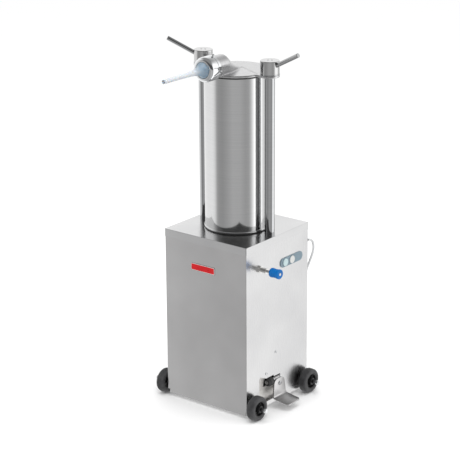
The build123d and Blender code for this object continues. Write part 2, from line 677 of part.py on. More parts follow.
# ---------------------------------------------------------------- write every node
def main():
    os.makedirs("parts", exist_ok=True)
    for piece in (base_plate, inner_frame, front_panel, right_side_panel, rear_cover, top_cap, pedal_recess,
                  panel_screws, badge_plate, barrel, barrel_seal, tie_rods, hydraulic_cylinder, ram_rod,
                  meat_piston, piston_seals, oil_tank, gear_pump, electric_motor, motor_rotor, valve_block,
                  valve_spool, spool_spring, flow_valve, control_box, hydraulic_hoses, lid, lid_gasket,
                  nozzle, nozzle_ring_nut, button_plate, speed_knob, pedal_bracket, pedal_lever, pedal_hub,
                  pedal_plate, pedal_bolt, wheel_axles, cord_gland, cord_strain_relief, power_cord,
                  cord_coil, mains_plug):
        save(piece.__name__, piece())
    save("left_side_panel", side_panel(-1))
    for side in ("left", "right"):
        save(side + "_clamp_washer", clamp_washer(side))
        save(side + "_clamp_nut", clamp_nut(side))
        save(side + "_clamp_lever", lever(side))
    save("start_button", button(0))
    save("stop_button", button(1))
    for name, sx, sy in (("front_left", -1, -1), ("front_right", 1, -1), ("rear_left", -1, 1), ("rear_right", 1, 1)):
        save(name + "_tyre", tyre(sx, sy))
        save(name + "_hub", wheel_hub(sx, sy))


main()
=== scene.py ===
# %% [markdown]
# # A floor-standing hydraulic sausage stuffer
#
# The machine is a square steel cabinet on four small wheels. It holds a motor, a pump and a
# hydraulic cylinder that pushes a piston up through an open meat barrel. Two tie rods clamp a cast
# lid on the barrel, and the meat leaves through a plastic nozzle on the lid's outlet.
#
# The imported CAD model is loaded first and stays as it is. The cells after it add the camera and the
# light, then the cord, then the pieces whose real shape is softer or finer than the CAD solid, and
# last the finishes of the CAD nodes that stay in view.

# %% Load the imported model
import math

import bmesh
import bpy
from mathutils import Matrix, Vector


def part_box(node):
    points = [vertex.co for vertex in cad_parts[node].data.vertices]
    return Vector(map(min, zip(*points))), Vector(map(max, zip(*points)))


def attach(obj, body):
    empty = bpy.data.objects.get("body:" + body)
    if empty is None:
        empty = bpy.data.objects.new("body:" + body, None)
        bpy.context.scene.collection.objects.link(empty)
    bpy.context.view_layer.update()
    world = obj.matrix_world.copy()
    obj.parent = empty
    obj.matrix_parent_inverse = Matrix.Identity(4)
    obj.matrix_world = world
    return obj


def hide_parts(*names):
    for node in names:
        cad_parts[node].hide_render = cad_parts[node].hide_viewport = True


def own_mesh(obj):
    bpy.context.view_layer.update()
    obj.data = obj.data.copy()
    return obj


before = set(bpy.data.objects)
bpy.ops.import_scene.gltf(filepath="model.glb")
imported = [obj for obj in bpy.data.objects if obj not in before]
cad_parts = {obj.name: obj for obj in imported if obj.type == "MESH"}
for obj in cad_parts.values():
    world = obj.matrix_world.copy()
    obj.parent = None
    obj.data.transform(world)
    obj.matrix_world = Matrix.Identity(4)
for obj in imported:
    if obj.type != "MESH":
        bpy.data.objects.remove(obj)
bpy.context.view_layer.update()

MM = 0.001


def middle(node):
    """The centre of a CAD node's box."""
    low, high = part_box(node)
    return (low + high) / 2


# %% [markdown]
# ## The camera
#
# A tall, narrow object is best seen from a few metres away through a long lens, so that its
# upright edges stay nearly parallel. The camera could be aimed with a Track To constraint, but its
# small roll would be lost, so its three axes are worked out from an azimuth, an elevation and the
# roll, and put straight into its matrix.

# %% Place the camera
CAMERA_AT = Vector((3.25585, -4.17763, 2.3349))
CAMERA_AZIMUTH = math.radians(38.17)
CAMERA_ELEVATION = math.radians(18.54)
CAMERA_ROLL = math.radians(-0.34)
LENS_MM = 137.3
SENSOR_MM = 36

looking = Vector((
    -math.sin(CAMERA_AZIMUTH) * math.cos(CAMERA_ELEVATION),
    math.cos(CAMERA_AZIMUTH) * math.cos(CAMERA_ELEVATION),
    -math.sin(CAMERA_ELEVATION)))
level_right = looking.cross(Vector((0, 0, 1))).normalized()
level_up = level_right.cross(looking)
camera_right = math.cos(CAMERA_ROLL) * level_right + math.sin(CAMERA_ROLL) * level_up
camera_up = math.cos(CAMERA_ROLL) * level_up - math.sin(CAMERA_ROLL) * level_right

camera = bpy.data.objects.new("studio_camera", bpy.data.cameras.new("studio_camera"))
camera.data.lens = LENS_MM
camera.data.sensor_width = SENSOR_MM
axes = Matrix((camera_right, camera_up, -looking)).transposed().to_4x4()
camera.matrix_world = Matrix.Translation(CAMERA_AT) @ axes
bpy.context.scene.collection.objects.link(camera)
bpy.context.scene.camera = camera
print("camera", round((CAMERA_AT - middle("front_panel")).length, 2), "m from the cabinet")

# %% [markdown]
# ## The mains cord
#
# The lead leaves a gland high on the back, falls behind the cabinet and lies on the floor, where the
# spare length is wound into a neat coil of five turns in two layers. A bevelled curve suits a cord
# better than a mesh tube: its line stays smooth, and its length can be measured.
#
# The first points are the route that the cord hangs and lies in. The coil's points come from a loop,
# because a wound coil is regular: the radius shrinks by a cord's width each turn, climbs onto the
# first layer at the middle, and grows again. All of them are control points of one NURBS spline.

# %% Route of the cord
CORD_DIAMETER = 0.0074
CORD_ROUTE = [
    (0.140, 0.190, 0.503), (0.140, 0.204, 0.5012), (0.140, 0.2175, 0.492), (0.1395, 0.226, 0.476),
    (0.138, 0.227, 0.455), (0.133, 0.217, 0.426), (0.124, 0.205, 0.386), (0.113, 0.197, 0.334),
    (0.102, 0.192, 0.270), (0.092, 0.190, 0.202), (0.083, 0.191, 0.136), (0.071, 0.193, 0.080),
    (0.054, 0.195, 0.038), (0.030, 0.197, 0.013), (0.002, 0.1986, 0.0044), (-0.026, 0.1996, 0.0039),
    (-0.040, 0.1997, 0.0038),
]
CORD_TO_PLUG = [(-0.052, 0.2062, 0.0127), (-0.063, 0.2045, 0.0158), (-0.073, 0.2032, 0.0178),
                (-0.081, 0.203, 0.0181)]
COIL_X, COIL_Y = -0.040, 0.2507
COIL_OUTER = 0.051
COIL_STEP = 0.0075              # from one turn to the next, on the way in
COIL_STEP_OUT = 1.37 * COIL_STEP    # on the way out, for the first stretch of the upper layer
FLOOR_LAYER = CORD_DIAMETER / 2 + 0.0001
UPPER_LAYER = FLOOR_LAYER + COIL_STEP
STEPS_PER_TURN = 16
TURNS = 5


def coil_radius_and_height(turns):
    """Distance from the coil's middle and height, after so many turns."""
    inward_until, climb_from, outward_until = 3.1, 2.7, 3.9
    inner = COIL_OUTER - COIL_STEP * inward_until
    climb = min(1, max(0, (turns - climb_from) / (inward_until - climb_from)))
    height = FLOOR_LAYER + (UPPER_LAYER - FLOOR_LAYER) * climb
    if turns <= inward_until:
        return COIL_OUTER - COIL_STEP * turns, height
    if turns <= outward_until:
        return inner + COIL_STEP_OUT * (turns - inward_until), height
    widest = inner + COIL_STEP_OUT * (outward_until - inward_until)
    return widest + COIL_STEP * (turns - outward_until), height


coil_points = []
for step in range(1, STEPS_PER_TURN * TURNS + 1):
    turns = step / STEPS_PER_TURN
    radius, height = coil_radius_and_height(turns)
    angle = -math.pi / 2 - 2 * math.pi * turns
    coil_points.append((COIL_X + radius * math.cos(angle), COIL_Y + radius * math.sin(angle), height))
cord_points = CORD_ROUTE + coil_points + CORD_TO_PLUG
print("cord control points", len(cord_points))


# %% The cord's curve
PROFILE_STEPS = 6
STEPS_PER_POINT = 6


def smooth_curve(name, points, diameter):
    """A bevelled curve of one open NURBS spline through these control points."""
    data = bpy.data.curves.new(name, "CURVE")
    data.dimensions = "3D"
    data.bevel_depth = 1.0
    data.bevel_resolution = PROFILE_STEPS
    data.use_fill_caps = True
    spline = data.splines.new("NURBS")
    spline.points.add(len(points) - 1)
    for point, place in zip(spline.points, points):
        point.co = (*place, 1)
        point.radius = diameter / 2
    spline.order_u = 3
    spline.use_endpoint_u = True
    spline.resolution_u = STEPS_PER_POINT
    curve = bpy.data.objects.new(name, data)
    bpy.context.scene.collection.objects.link(curve)
    return curve


mains_lead = smooth_curve("mains_lead", cord_points, CORD_DIAMETER)
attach(mains_lead, "cabinet")
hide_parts("power_cord", "cord_coil")

# %% [markdown]
# ## Studio light
#
# Polished steel has hardly any colour of its own. What it shows is the room, so the room decides how
# the barrel and the panels look. Real softboxes could be built as light panels, but they would stand
# in the way when the object is seen from other sides. A world shader does the same job from
# infinitely far away: it reads the direction of the ray and gives bright, dim and dark stretches
# round the horizon, as two long softboxes and an unlit side of the room do.
#
# Only mirror reflections see those stretches. Every other ray sees plain white, and the floor is left
# out of mirror reflections, so the pale backdrop, the soft contact shadows and the reflections in the
# steel can be set apart from each other.

# %% Small node helpers
def add_node(tree, kind, **values):
    """A shader node with its properties or unlinked inputs set by name."""
    made = tree.nodes.new(kind)
    for name, value in values.items():
        if hasattr(made, name):
            setattr(made, name, value)
        else:
            made.inputs[name.replace("_", " ")].default_value = value
    return made


def join(tree, source, target):
    """Links two sockets."""
    tree.links.new(source, target)


def ramp(tree, factor, stops):
    """A colour ramp whose stops are (position, grey or colour)."""
    made = tree.nodes.new("ShaderNodeValToRGB")
    made.color_ramp.interpolation = "LINEAR"
    elements = made.color_ramp.elements
    while len(elements) < len(stops):
        elements.new(1.0)
    for element, (position, colour) in zip(elements, stops):
        element.position = position
        element.color = (*colour, 1) if isinstance(colour, tuple) else (colour, colour, colour, 1)
    join(tree, factor, made.inputs["Fac"])
    return made.outputs["Color"]


# %% The studio's surroundings
# Each list holds (compass direction in degrees, brightness towards it).
BELOW_HORIZON = [
    (-180, 1.10), (-150, 1.12), (-140, 1.02), (-133, 0.80), (-129, 0.60), (-125, 0.47), (-118, 0.41),
    (-104, 0.39), (-90, 0.44), (-66, 0.55), (-40, 0.54), (-20, 0.45), (-8, 0.48), (0, 0.68), (8, 1.15),
    (17, 1.75), (44, 1.58), (50, 1.38), (56, 1.06), (60, 0.98), (66, 0.90), (74, 0.60), (84, 0.55),
    (96, 1.0), (128, 1.10), (180, 1.10),
]
ABOVE_HORIZON = [
    (-180, 1.15), (-150, 1.10), (-136, 0.60), (-124, 0.22), (-100, 0.09), (-52, 0.08), (-12, 0.10),
    (0, 0.30), (10, 1.40), (50, 1.45), (58, 1.10), (64, 1.00), (76, 0.85), (100, 1.05), (128, 1.18),
    (180, 1.15),
]
ZENITH = 0.30
RING_BLEND = (-0.10, 0.12)      # height of a ray where the lower ring gives way to the upper one
ZENITH_BLEND = (0.45, 0.85)     # and where that one gives way to the zenith
BRIGHTEST = 2.0                 # the ramps hold brightness divided by this


def horizon_colours(tree, around, stops):
    """Brightness round the horizon, as a ramp over the compass."""
    return ramp(tree, around, [((angle + 180) / 360, value / BRIGHTEST) for angle, value in stops])


def fade(tree, value, low, high):
    """0 below low, 1 above high, and a smooth step between them."""
    made = add_node(tree, "ShaderNodeMapRange", interpolation_type="SMOOTHSTEP")
    made.inputs["From Min"].default_value = low
    made.inputs["From Max"].default_value = high
    join(tree, value, made.inputs["Value"])
    return made.outputs[0]


def blend_colours(tree, factor, first, second):
    """Mixes two colour sockets, or a socket and a plain grey."""
    made = add_node(tree, "ShaderNodeMix", data_type="RGBA")
    join(tree, factor, made.inputs["Factor"])
    join(tree, first, made.inputs[6])
    if isinstance(second, float):
        made.inputs[7].default_value = (second, second, second, 1)
    else:
        join(tree, second, made.inputs[7])
    return made.outputs[2]


world = bpy.data.worlds.new("studio")
bpy.context.scene.world = world
world.use_nodes = True
tree = world.node_tree
tree.nodes.clear()
direction = add_node(tree, "ShaderNodeTexCoord").outputs["Generated"]
split = add_node(tree, "ShaderNodeSeparateXYZ")
join(tree, direction, split.inputs[0])
compass = add_node(tree, "ShaderNodeMath", operation="ARCTAN2")
join(tree, split.outputs["Y"], compass.inputs[0])
join(tree, split.outputs["X"], compass.inputs[1])
around = add_node(tree, "ShaderNodeMapRange")
around.inputs["From Min"].default_value = -math.pi
around.inputs["From Max"].default_value = math.pi
join(tree, compass.outputs[0], around.inputs["Value"])
ray_height = split.outputs["Z"]
low_ring = horizon_colours(tree, around.outputs[0], BELOW_HORIZON)
high_ring = horizon_colours(tree, around.outputs[0], ABOVE_HORIZON)
walls = blend_colours(tree, fade(tree, ray_height, *RING_BLEND), low_ring, high_ring)
room = blend_colours(tree, fade(tree, ray_height, *ZENITH_BLEND), walls, ZENITH / BRIGHTEST)
surroundings = add_node(tree, "ShaderNodeBackground", Strength=BRIGHTEST)
join(tree, room, surroundings.inputs["Color"])
backdrop = add_node(tree, "ShaderNodeBackground", Strength=1.0, Color=(1, 1, 1, 1))
seen_by = add_node(tree, "ShaderNodeLightPath")
choose = add_node(tree, "ShaderNodeMixShader")
join(tree, seen_by.outputs["Is Glossy Ray"], choose.inputs[0])
join(tree, backdrop.outputs[0], choose.inputs[1])
join(tree, surroundings.outputs[0], choose.inputs[2])
output = add_node(tree, "ShaderNodeOutputWorld")
join(tree, choose.outputs[0], output.inputs["Surface"])
world.cycles.sampling_method = "NONE"
bpy.context.scene.view_settings.view_transform = "Standard"
print("studio rings of", len(BELOW_HORIZON), "and", len(ABOVE_HORIZON), "stops")


# %% Top light
SOFTBOX_AT = Vector((0.3, -0.2, 3.2))
SOFTBOX_AIM = Vector((0, 0, 0.5))
SOFTBOX_SIZE = 2.2              # metres along each side
SOFTBOX_POWER = 40              # watts

softbox = bpy.data.lights.new("top_softbox", "AREA")
softbox.size = SOFTBOX_SIZE
softbox.energy = SOFTBOX_POWER
top_light = bpy.data.objects.new("top_softbox", softbox)
top_light.location = SOFTBOX_AT
top_light.rotation_euler = (SOFTBOX_AIM - SOFTBOX_AT).to_track_quat("-Z", "Y").to_euler()
top_light.visible_glossy = False
bpy.context.scene.collection.objects.link(top_light)
print("top softbox", SOFTBOX_SIZE, "m wide,", SOFTBOX_POWER, "W")

# %% Floor
FLOOR_SIZE = 30.0
bm = bmesh.new()
bmesh.ops.create_grid(bm, x_segments=1, y_segments=1, size=FLOOR_SIZE / 2)
floor_mesh = bpy.data.meshes.new("studio_floor")
bm.to_mesh(floor_mesh)
bm.free()
studio_floor = bpy.data.objects.new("studio_floor", floor_mesh)
bpy.context.scene.collection.objects.link(studio_floor)
studio_floor.visible_glossy = False

pale_floor = bpy.data.materials.new("pale_floor")
pale_floor.use_nodes = True
floor_surface = pale_floor.node_tree.nodes["Principled BSDF"]
floor_surface.inputs["Base Color"].default_value = (0.985, 0.985, 0.985, 1)
floor_surface.inputs["Roughness"].default_value = 0.9
floor_surface.inputs["Specular IOR Level"].default_value = 0.0
floor_mesh.materials.append(pale_floor)
print("floor", FLOOR_SIZE, "m wide")

# %% [markdown]
# ## Finishes
#
# Every finish is made of the same three ideas. A broad noise shifts the colour a little, because no
# real sheet is even. A fine pattern, stretched along the direction in which the metal was brushed or
# turned, changes the roughness and the bump. All of it is laid out on Object coordinates, which
# follow the piece when its joint moves and need no unwrapping.
#
# One function makes the frame of such a material, and each finish then says only what is its own.

# %% Shared part of every finish
NOISE_LOW, NOISE_HIGH = 0.3, 0.7    # between these lies nearly all of a noise texture


def start_finish(name, colour, metallic=0.0):
    """A material with its Principled shader, and its Object coordinates, in metres."""
    finish = bpy.data.materials.new(name)
    finish.use_nodes = True
    tree = finish.node_tree
    surface = tree.nodes["Principled BSDF"]
    surface.inputs["Base Color"].default_value = (*colour, 1)
    surface.inputs["Metallic"].default_value = metallic
    return finish, tree, surface, tree.nodes.new("ShaderNodeTexCoord").outputs["Object"]


def noise(tree, place, stretch, detail=3.0, roughness=0.55):
    """Noise whose cells per metre are given for each axis."""
    mapping = tree.nodes.new("ShaderNodeMapping")
    mapping.inputs["Scale"].default_value = stretch
    texture = tree.nodes.new("ShaderNodeTexNoise")
    texture.inputs["Scale"].default_value = 1.0
    texture.inputs["Detail"].default_value = detail
    texture.inputs["Roughness"].default_value = roughness
    join(tree, place, mapping.inputs["Vector"])
    join(tree, mapping.outputs[0], texture.inputs["Vector"])
    return texture.outputs["Fac"]


def spread(tree, value, low, high):
    """Turns a noise into a number between low and high."""
    made = tree.nodes.new("ShaderNodeMapRange")
    made.inputs["From Min"].default_value = NOISE_LOW
    made.inputs["From Max"].default_value = NOISE_HIGH
    made.inputs["To Min"].default_value = low
    made.inputs["To Max"].default_value = high
    join(tree, value, made.inputs["Value"])
    return made.outputs[0]


def tint(tree, value, dark, light):
    """Blends between two colours by a noise."""
    return ramp(tree, value, [(NOISE_LOW, dark), (NOISE_HIGH, light)])


def bump(tree, surface, value, depth, strength, under=None):
    """Raises a surface by a pattern, depth in metres, on top of another bump if given."""
    made = tree.nodes.new("ShaderNodeBump")
    made.inputs["Distance"].default_value = depth
    made.inputs["Strength"].default_value = strength
    join(tree, value, made.inputs["Height"])
    if under is not None:
        join(tree, under, made.inputs["Normal"])
    join(tree, made.outputs[0], surface.inputs["Normal"])
    return made.outputs[0]


# %% [markdown]
# ### Brushed, polished and cast steel
#
# Sheet for food machines is brushed with an abrasive belt, which leaves scratches in one direction.
# Cells that are a few tenths of a millimetre wide and centimetres long give that grain. The barrel
# and the rods are polished on a lathe, so their grain runs round them: it is very fine along Z and
# long in the other two directions. The cast lid is blasted, with an even orange-peel grain.

# %% Steel finishes
STEEL_DARK = (0.56, 0.56, 0.565)
STEEL_LIGHT = (0.64, 0.64, 0.64)
UPRIGHT_GRAIN = (1800, 1800, 14)
SCRATCH_DEPTH = 0.00003
TURNING_DEPTH = 0.00001
WAVE_DEPTH, PIT_DEPTH = 0.0003, 0.00005


def brushed_steel(name, grain, roughness=(0.15, 0.21), dark=STEEL_DARK, light=STEEL_LIGHT):
    """Satin sheet, its grain given as cells per metre on each axis."""
    finish, tree, surface, place = start_finish(name, light, metallic=1.0)
    lines = noise(tree, place, grain, detail=4)
    patches = noise(tree, place, (5, 5, 5), detail=2)
    join(tree, spread(tree, lines, *roughness), surface.inputs["Roughness"])
    join(tree, tint(tree, patches, dark, light), surface.inputs["Base Color"])
    bump(tree, surface, lines, SCRATCH_DEPTH, 0.35)
    return finish


def polished_steel(name, roughness, dark, light):
    """Lathe-polished steel with faint rings and fingerprints of duller metal."""
    finish, tree, surface, place = start_finish(name, light, metallic=1.0)
    rings = noise(tree, place, (3, 3, 1600), detail=3)
    smears = noise(tree, place, (14, 14, 9), detail=5, roughness=0.65)
    join(tree, spread(tree, smears, *roughness), surface.inputs["Roughness"])
    join(tree, tint(tree, rings, dark, light), surface.inputs["Base Color"])
    bump(tree, surface, rings, TURNING_DEPTH, 0.25)
    return finish


def cast_steel(name, grain, roughness, colour):
    """Blasted casting with an even, pitted grain."""
    finish, tree, surface, place = start_finish(name, colour, metallic=1.0)
    pits = noise(tree, place, (grain,) * 3, detail=3)
    waves = noise(tree, place, (60, 60, 60), detail=2)
    join(tree, spread(tree, pits, *roughness), surface.inputs["Roughness"])
    hollows = tuple(part * 0.9 for part in colour)
    join(tree, tint(tree, waves, hollows, colour), surface.inputs["Base Color"])
    under = bump(tree, surface, waves, WAVE_DEPTH, 0.3)
    bump(tree, surface, pits, PIT_DEPTH, 0.5, under)
    return finish


# A little darker and warmer than the side panels' steel, though it is the same sheet: painted shade for the
# front face. The rear cover, inner frame and base plate share it.
shaded_panel_steel = brushed_steel("shaded_panel_steel", UPRIGHT_GRAIN,
                            dark=(0.55, 0.546, 0.547), light=(0.63, 0.626, 0.627))
side_steel = brushed_steel("side_steel", UPRIGHT_GRAIN, (0.24, 0.31))
cap_steel = brushed_steel("cap_steel", (1800, 14, 1800), (0.17, 0.25))
# Lighter and warmer than the panels' steel: painted light, standing in for the light that the white floor
# throws up into the pedal recess.
lit_recess_steel = brushed_steel("lit_recess_steel", UPRIGHT_GRAIN, (0.45, 0.60),
                             dark=(0.60, 0.585, 0.56), light=(0.70, 0.685, 0.66))
pedal_steel = brushed_steel("pedal_steel", (40, 1500, 40), (0.24, 0.36),
                            dark=(0.46, 0.455, 0.455), light=(0.54, 0.535, 0.535))
nut_steel = brushed_steel("nut_steel", (60, 60, 2400), (0.12, 0.20),
                          dark=(0.50, 0.50, 0.50), light=(0.60, 0.60, 0.60))
bright_steel = brushed_steel("bright_steel", (700, 90, 700), (0.42, 0.55),
                             dark=(0.80, 0.79, 0.77), light=(0.90, 0.89, 0.87))
aluminium = brushed_steel("aluminium", (300, 300, 300), (0.35, 0.5),
                          dark=(0.66, 0.66, 0.67), light=(0.74, 0.74, 0.75))
barrel_steel = polished_steel("barrel_steel", (0.07, 0.13),
                              dark=(0.60, 0.605, 0.61), light=(0.68, 0.68, 0.68))
# A darker copy of the rod steel, for the right clamp lever only: painted shade. The left lever is the same
# steel and keeps rod_steel.
shaded_lever_steel = polished_steel("shaded_lever_steel", (0.10, 0.16),
                             dark=(0.33, 0.335, 0.34), light=(0.41, 0.41, 0.41))
rod_steel = polished_steel("rod_steel", (0.05, 0.10),
                           dark=(0.46, 0.465, 0.475), light=(0.54, 0.545, 0.55))
chrome = polished_steel("chrome", (0.03, 0.07),
                        dark=(0.72, 0.73, 0.74), light=(0.78, 0.79, 0.80))
lid_steel = cast_steel("lid_steel", 900, (0.24, 0.34), (0.60, 0.60, 0.605))
print("steel finishes made")

# %% [markdown]
# ### Plastics, rubber, paint and enamel
#
# Moulded plastic has a fine leathery grain from its mould and is a little cloudy, so its roughness
# wanders. Rubber is the same with a coarser grain and a dusty bloom. Enamel and paint have a clear
# top, which a coat layer gives.

# %% Plastic, rubber and paint finishes
CLOUD_SHADE = 0.8               # how dark the cloudy stretches are against the others
COAT_ROUGHNESS = 0.12


def moulded(name, colour, roughness=(0.32, 0.45), grain=1400, depth=0.00003, coat=0.0, dust=None,
            specular=0.5):
    """Moulded plastic or rubber, with an even grain and a slow change of shade."""
    finish, tree, surface, place = start_finish(name, colour)
    leather = noise(tree, place, (grain,) * 3, detail=2)
    cloud = noise(tree, place, (45, 45, 45), detail=3)
    join(tree, spread(tree, cloud, *roughness), surface.inputs["Roughness"])
    shaded = tuple(part * CLOUD_SHADE for part in colour)
    join(tree, tint(tree, cloud, shaded, dust or colour), surface.inputs["Base Color"])
    bump(tree, surface, leather, depth, 0.5)
    surface.inputs["Specular IOR Level"].default_value = specular
    surface.inputs["Coat Weight"].default_value = coat
    surface.inputs["Coat Roughness"].default_value = COAT_ROUGHNESS
    return finish


tyre_rubber = moulded("tyre_rubber", (0.042, 0.042, 0.044), (0.45, 0.62), 900, 0.00006,
                      dust=(0.070, 0.070, 0.073))
black_plastic = moulded("black_plastic", (0.012, 0.012, 0.013), (0.32, 0.5))
black_rubber = moulded("black_rubber", (0.016, 0.016, 0.017), (0.4, 0.6), dust=(0.028, 0.028, 0.028))
blue_plastic = moulded("blue_plastic", (0.0, 0.145, 0.47), (0.34, 0.46), specular=0.25)
food_plastic = moulded("food_plastic", (0.78, 0.78, 0.76))
plate_plastic = moulded("plate_plastic", (0.185, 0.265, 0.32), (0.3, 0.45), coat=0.2)
button_green = moulded("button_green", (0.56, 0.72, 0.74), (0.3, 0.4), coat=0.4)
button_white = moulded("button_white", (0.74, 0.75, 0.73), (0.3, 0.4), coat=0.4)
cable_sheath = moulded("cable_sheath", (0.72, 0.73, 0.74), (0.38, 0.5), 2200)
plug_plastic = moulded("plug_plastic", (0.46, 0.47, 0.48), (0.4, 0.55))
badge_enamel = moulded("badge_enamel", (0.58, 0.004, 0.008), (0.26, 0.34), coat=0.05, specular=0.25)
badge_white = moulded("badge_white", (0.72, 0.72, 0.70), (0.2, 0.3), coat=0.6)
painted_steel = moulded("painted_steel", (0.16, 0.17, 0.18), (0.35, 0.5), 500, 0.0001, coat=0.2)
motor_paint = moulded("motor_paint", (0.05, 0.11, 0.19), (0.35, 0.5), 500, 0.0001, coat=0.2)
mains_lead.data.materials.append(cable_sheath)
print("plastic, rubber and paint finishes made")

# %% [markdown]
# ### Nozzle plastic
#
# The filling nozzle is natural polypropylene, which lets some light through. Full transmission would
# need many samples for little gain, so most of its milkiness is subsurface scattering, with a part
# of the light passing straight through. The wide end looks deeper in colour than the tube, because
# more plastic and the dark mouth of the nut lie behind it. So the colour is painted deeper along Y:
# partly the thicker plastic's own colour, partly painted shade of the nut's dark mouth behind it.

# %% Translucent nozzle plastic
DEEPER_FROM_Y, DEEPEST_AT_Y = -0.222, -0.180
nozzle_plastic, tree, surface, place = start_finish("nozzle_plastic", (0.84, 0.87, 0.90))
cloud = noise(tree, place, (70, 25, 70), detail=3)
join(tree, spread(tree, cloud, 0.26, 0.38), surface.inputs["Roughness"])
along = tree.nodes.new("ShaderNodeSeparateXYZ")
join(tree, place, along.inputs[0])
# Towards the wide end the colour is painted deeper. Part of this is the thicker plastic, and part is painted
# shade of the nut's dark mouth behind it.
thick_and_shaded_end = fade(tree, along.outputs["Y"], DEEPER_FROM_Y, DEEPEST_AT_Y)
pale = tint(tree, cloud, (0.72, 0.76, 0.80), (0.80, 0.83, 0.86))
deep = tint(tree, cloud, (0.24, 0.33, 0.42), (0.33, 0.43, 0.52))
join(tree, blend_colours(tree, thick_and_shaded_end, pale, deep), surface.inputs["Base Color"])
bump(tree, surface, noise(tree, place, (260, 260, 260)), 0.0001, 0.2)
surface.inputs["Subsurface Weight"].default_value = 0.5
surface.inputs["Subsurface Radius"].default_value = (0.006, 0.008, 0.010)
surface.inputs["Transmission Weight"].default_value = 0.30
surface.inputs["IOR"].default_value = 1.49
print("nozzle plastic deepens from", DEEPER_FROM_Y, "to", DEEPEST_AT_Y)

# %% [markdown]
# ## Helpers for turned and cut pieces
#
# Most of the new pieces were turned on a lathe or moulded round an axis. `spin` makes such a shape
# from half of its section, which is quicker and rounder than a cylinder that is cut afterwards. A
# helper then lays the shape along the axis it has on the machine. Edges are softened with a bevel
# before that, because no real edge is a perfect corner, and a cut with a boolean is kept for windows
# and recesses, which a spin can't give.

# %% Turning a section
ALONG_X = Matrix.Rotation(math.pi / 2, 4, "Y")
ALONG_MINUS_X = Matrix.Rotation(-math.pi / 2, 4, "Y")
ALONG_MINUS_Y = Matrix.Rotation(math.pi / 2, 4, "X")
ALONG_Y = Matrix.Rotation(-math.pi / 2, 4, "X")


def turned(outline, steps=96, closed=True):
    """Spins a section of (radius, height) points, in millimetres, about Z."""
    bm = bmesh.new()
    corners = [bm.verts.new((radius * MM, 0, height * MM)) for radius, height in outline]
    pairs = list(zip(corners, corners[1:]))
    if closed:
        pairs.append((corners[-1], corners[0]))
    edges = [bm.edges.new(pair) for pair in pairs]
    bmesh.ops.spin(bm, geom=corners + edges, cent=(0, 0, 0), axis=(0, 0, 1), dvec=(0, 0, 0),
                   angle=2 * math.pi, steps=steps, use_merge=True, use_duplicate=False)
    bmesh.ops.remove_doubles(bm, verts=bm.verts, dist=1e-6)
    bmesh.ops.recalc_face_normals(bm, faces=bm.faces)
    return bm


# %% Softening edges
def sharp_edges(bm, degrees):
    """Edges where two faces meet at more than this angle."""
    limit = math.radians(degrees)
    return [edge for edge in bm.edges if len(edge.link_faces) == 2 and edge.calc_face_angle() > limit]


def soften(bm, width_mm, segments=2, degrees=30, edges=None):
    """Rounds the sharp edges of a shape."""
    bmesh.ops.bevel(bm, geom=sharp_edges(bm, degrees) if edges is None else edges, offset=width_mm * MM,
                    offset_type="OFFSET", affect="EDGES", segments=segments, profile=0.5, material=-1,
                    clamp_overlap=True)


def upright_edges(bm):
    """Edges of a flat slab that run through its thickness."""
    return [edge for edge in bm.edges if abs(edge.verts[0].co.z - edge.verts[1].co.z) > 0.1 * MM]


# %% Laying a shape in its place
def lay(bm, place, axis):
    """Lays a shape along an axis and moves it to its place."""
    bmesh.ops.transform(bm, matrix=Matrix.Translation(place) @ axis, verts=bm.verts)


def stamp(target, source, place, axis, twist=0.0):
    """Adds a copy of one shape to another, turned about its own Z and laid at its own place."""
    mesh = bpy.data.meshes.new("stamp")
    source.to_mesh(mesh)
    before = set(target.verts)
    target.from_mesh(mesh)
    bpy.data.meshes.remove(mesh)
    turn = Matrix.Translation(place) @ axis @ Matrix.Rotation(twist, 4, "Z")
    added = [vertex for vertex in target.verts if vertex not in before]
    bmesh.ops.transform(target, matrix=turn, verts=added)


# %% Making a piece of a shape
def finish_piece(bm, name, finish, body, nodes=(), sharp=35):
    """Makes an object of a shape: smooth, with its finish, on its body."""
    mesh = bpy.data.meshes.new(name)
    bm.to_mesh(mesh)
    bm.free()
    mesh.shade_smooth()
    mesh.set_sharp_from_angle(angle=math.radians(sharp))
    mesh.materials.append(finish)
    piece = bpy.data.objects.new(name, mesh)
    bpy.context.scene.collection.objects.link(piece)
    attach(piece, body)
    if nodes:
        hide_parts(*nodes)
    print(name, len(mesh.polygons), "faces")
    return piece


# %% Cutting one shape out of another
CUT_SHARP = 30                  # degrees, for the edges that a cut leaves


def subtract(piece, cutter_shape):
    """Cuts a shape out of a piece and leaves a plain mesh."""
    mesh = bpy.data.meshes.new("cutter")
    cutter_shape.to_mesh(mesh)
    cutter_shape.free()
    cutter = bpy.data.objects.new("cutter", mesh)
    bpy.context.scene.collection.objects.link(cutter)
    modifier = piece.modifiers.new("cut", "BOOLEAN")
    modifier.operation = "DIFFERENCE"
    modifier.solver = "EXACT"
    modifier.object = cutter
    bpy.context.view_layer.update()
    graph = bpy.context.evaluated_depsgraph_get()
    cut_mesh = bpy.data.meshes.new_from_object(piece.evaluated_get(graph))
    piece.modifiers.clear()
    piece.data = cut_mesh
    bpy.data.objects.remove(cutter)
    cut_mesh.set_sharp_from_angle(angle=math.radians(CUT_SHARP))


# %% A block
def block(bm, size_mm, centre_mm=(0, 0, 0)):
    """Adds a box, its size and centre in millimetres, and gives its vertices."""
    scale = Matrix.Diagonal((*(side * MM for side in size_mm), 1))
    place = Matrix.Translation([value * MM for value in centre_mm])
    return bmesh.ops.create_cube(bm, size=1, matrix=place @ scale)["verts"]


# %% [markdown]
# ## Strain relief and plug
#
# A moulded sleeve keeps the lead from kinking where it leaves the gland. It tapers, and ribs let it
# bend. The plug is a round moulded one with a ribbed grip, two pins and a flat face. Both are spun
# from a section whose ribs are made by a loop.

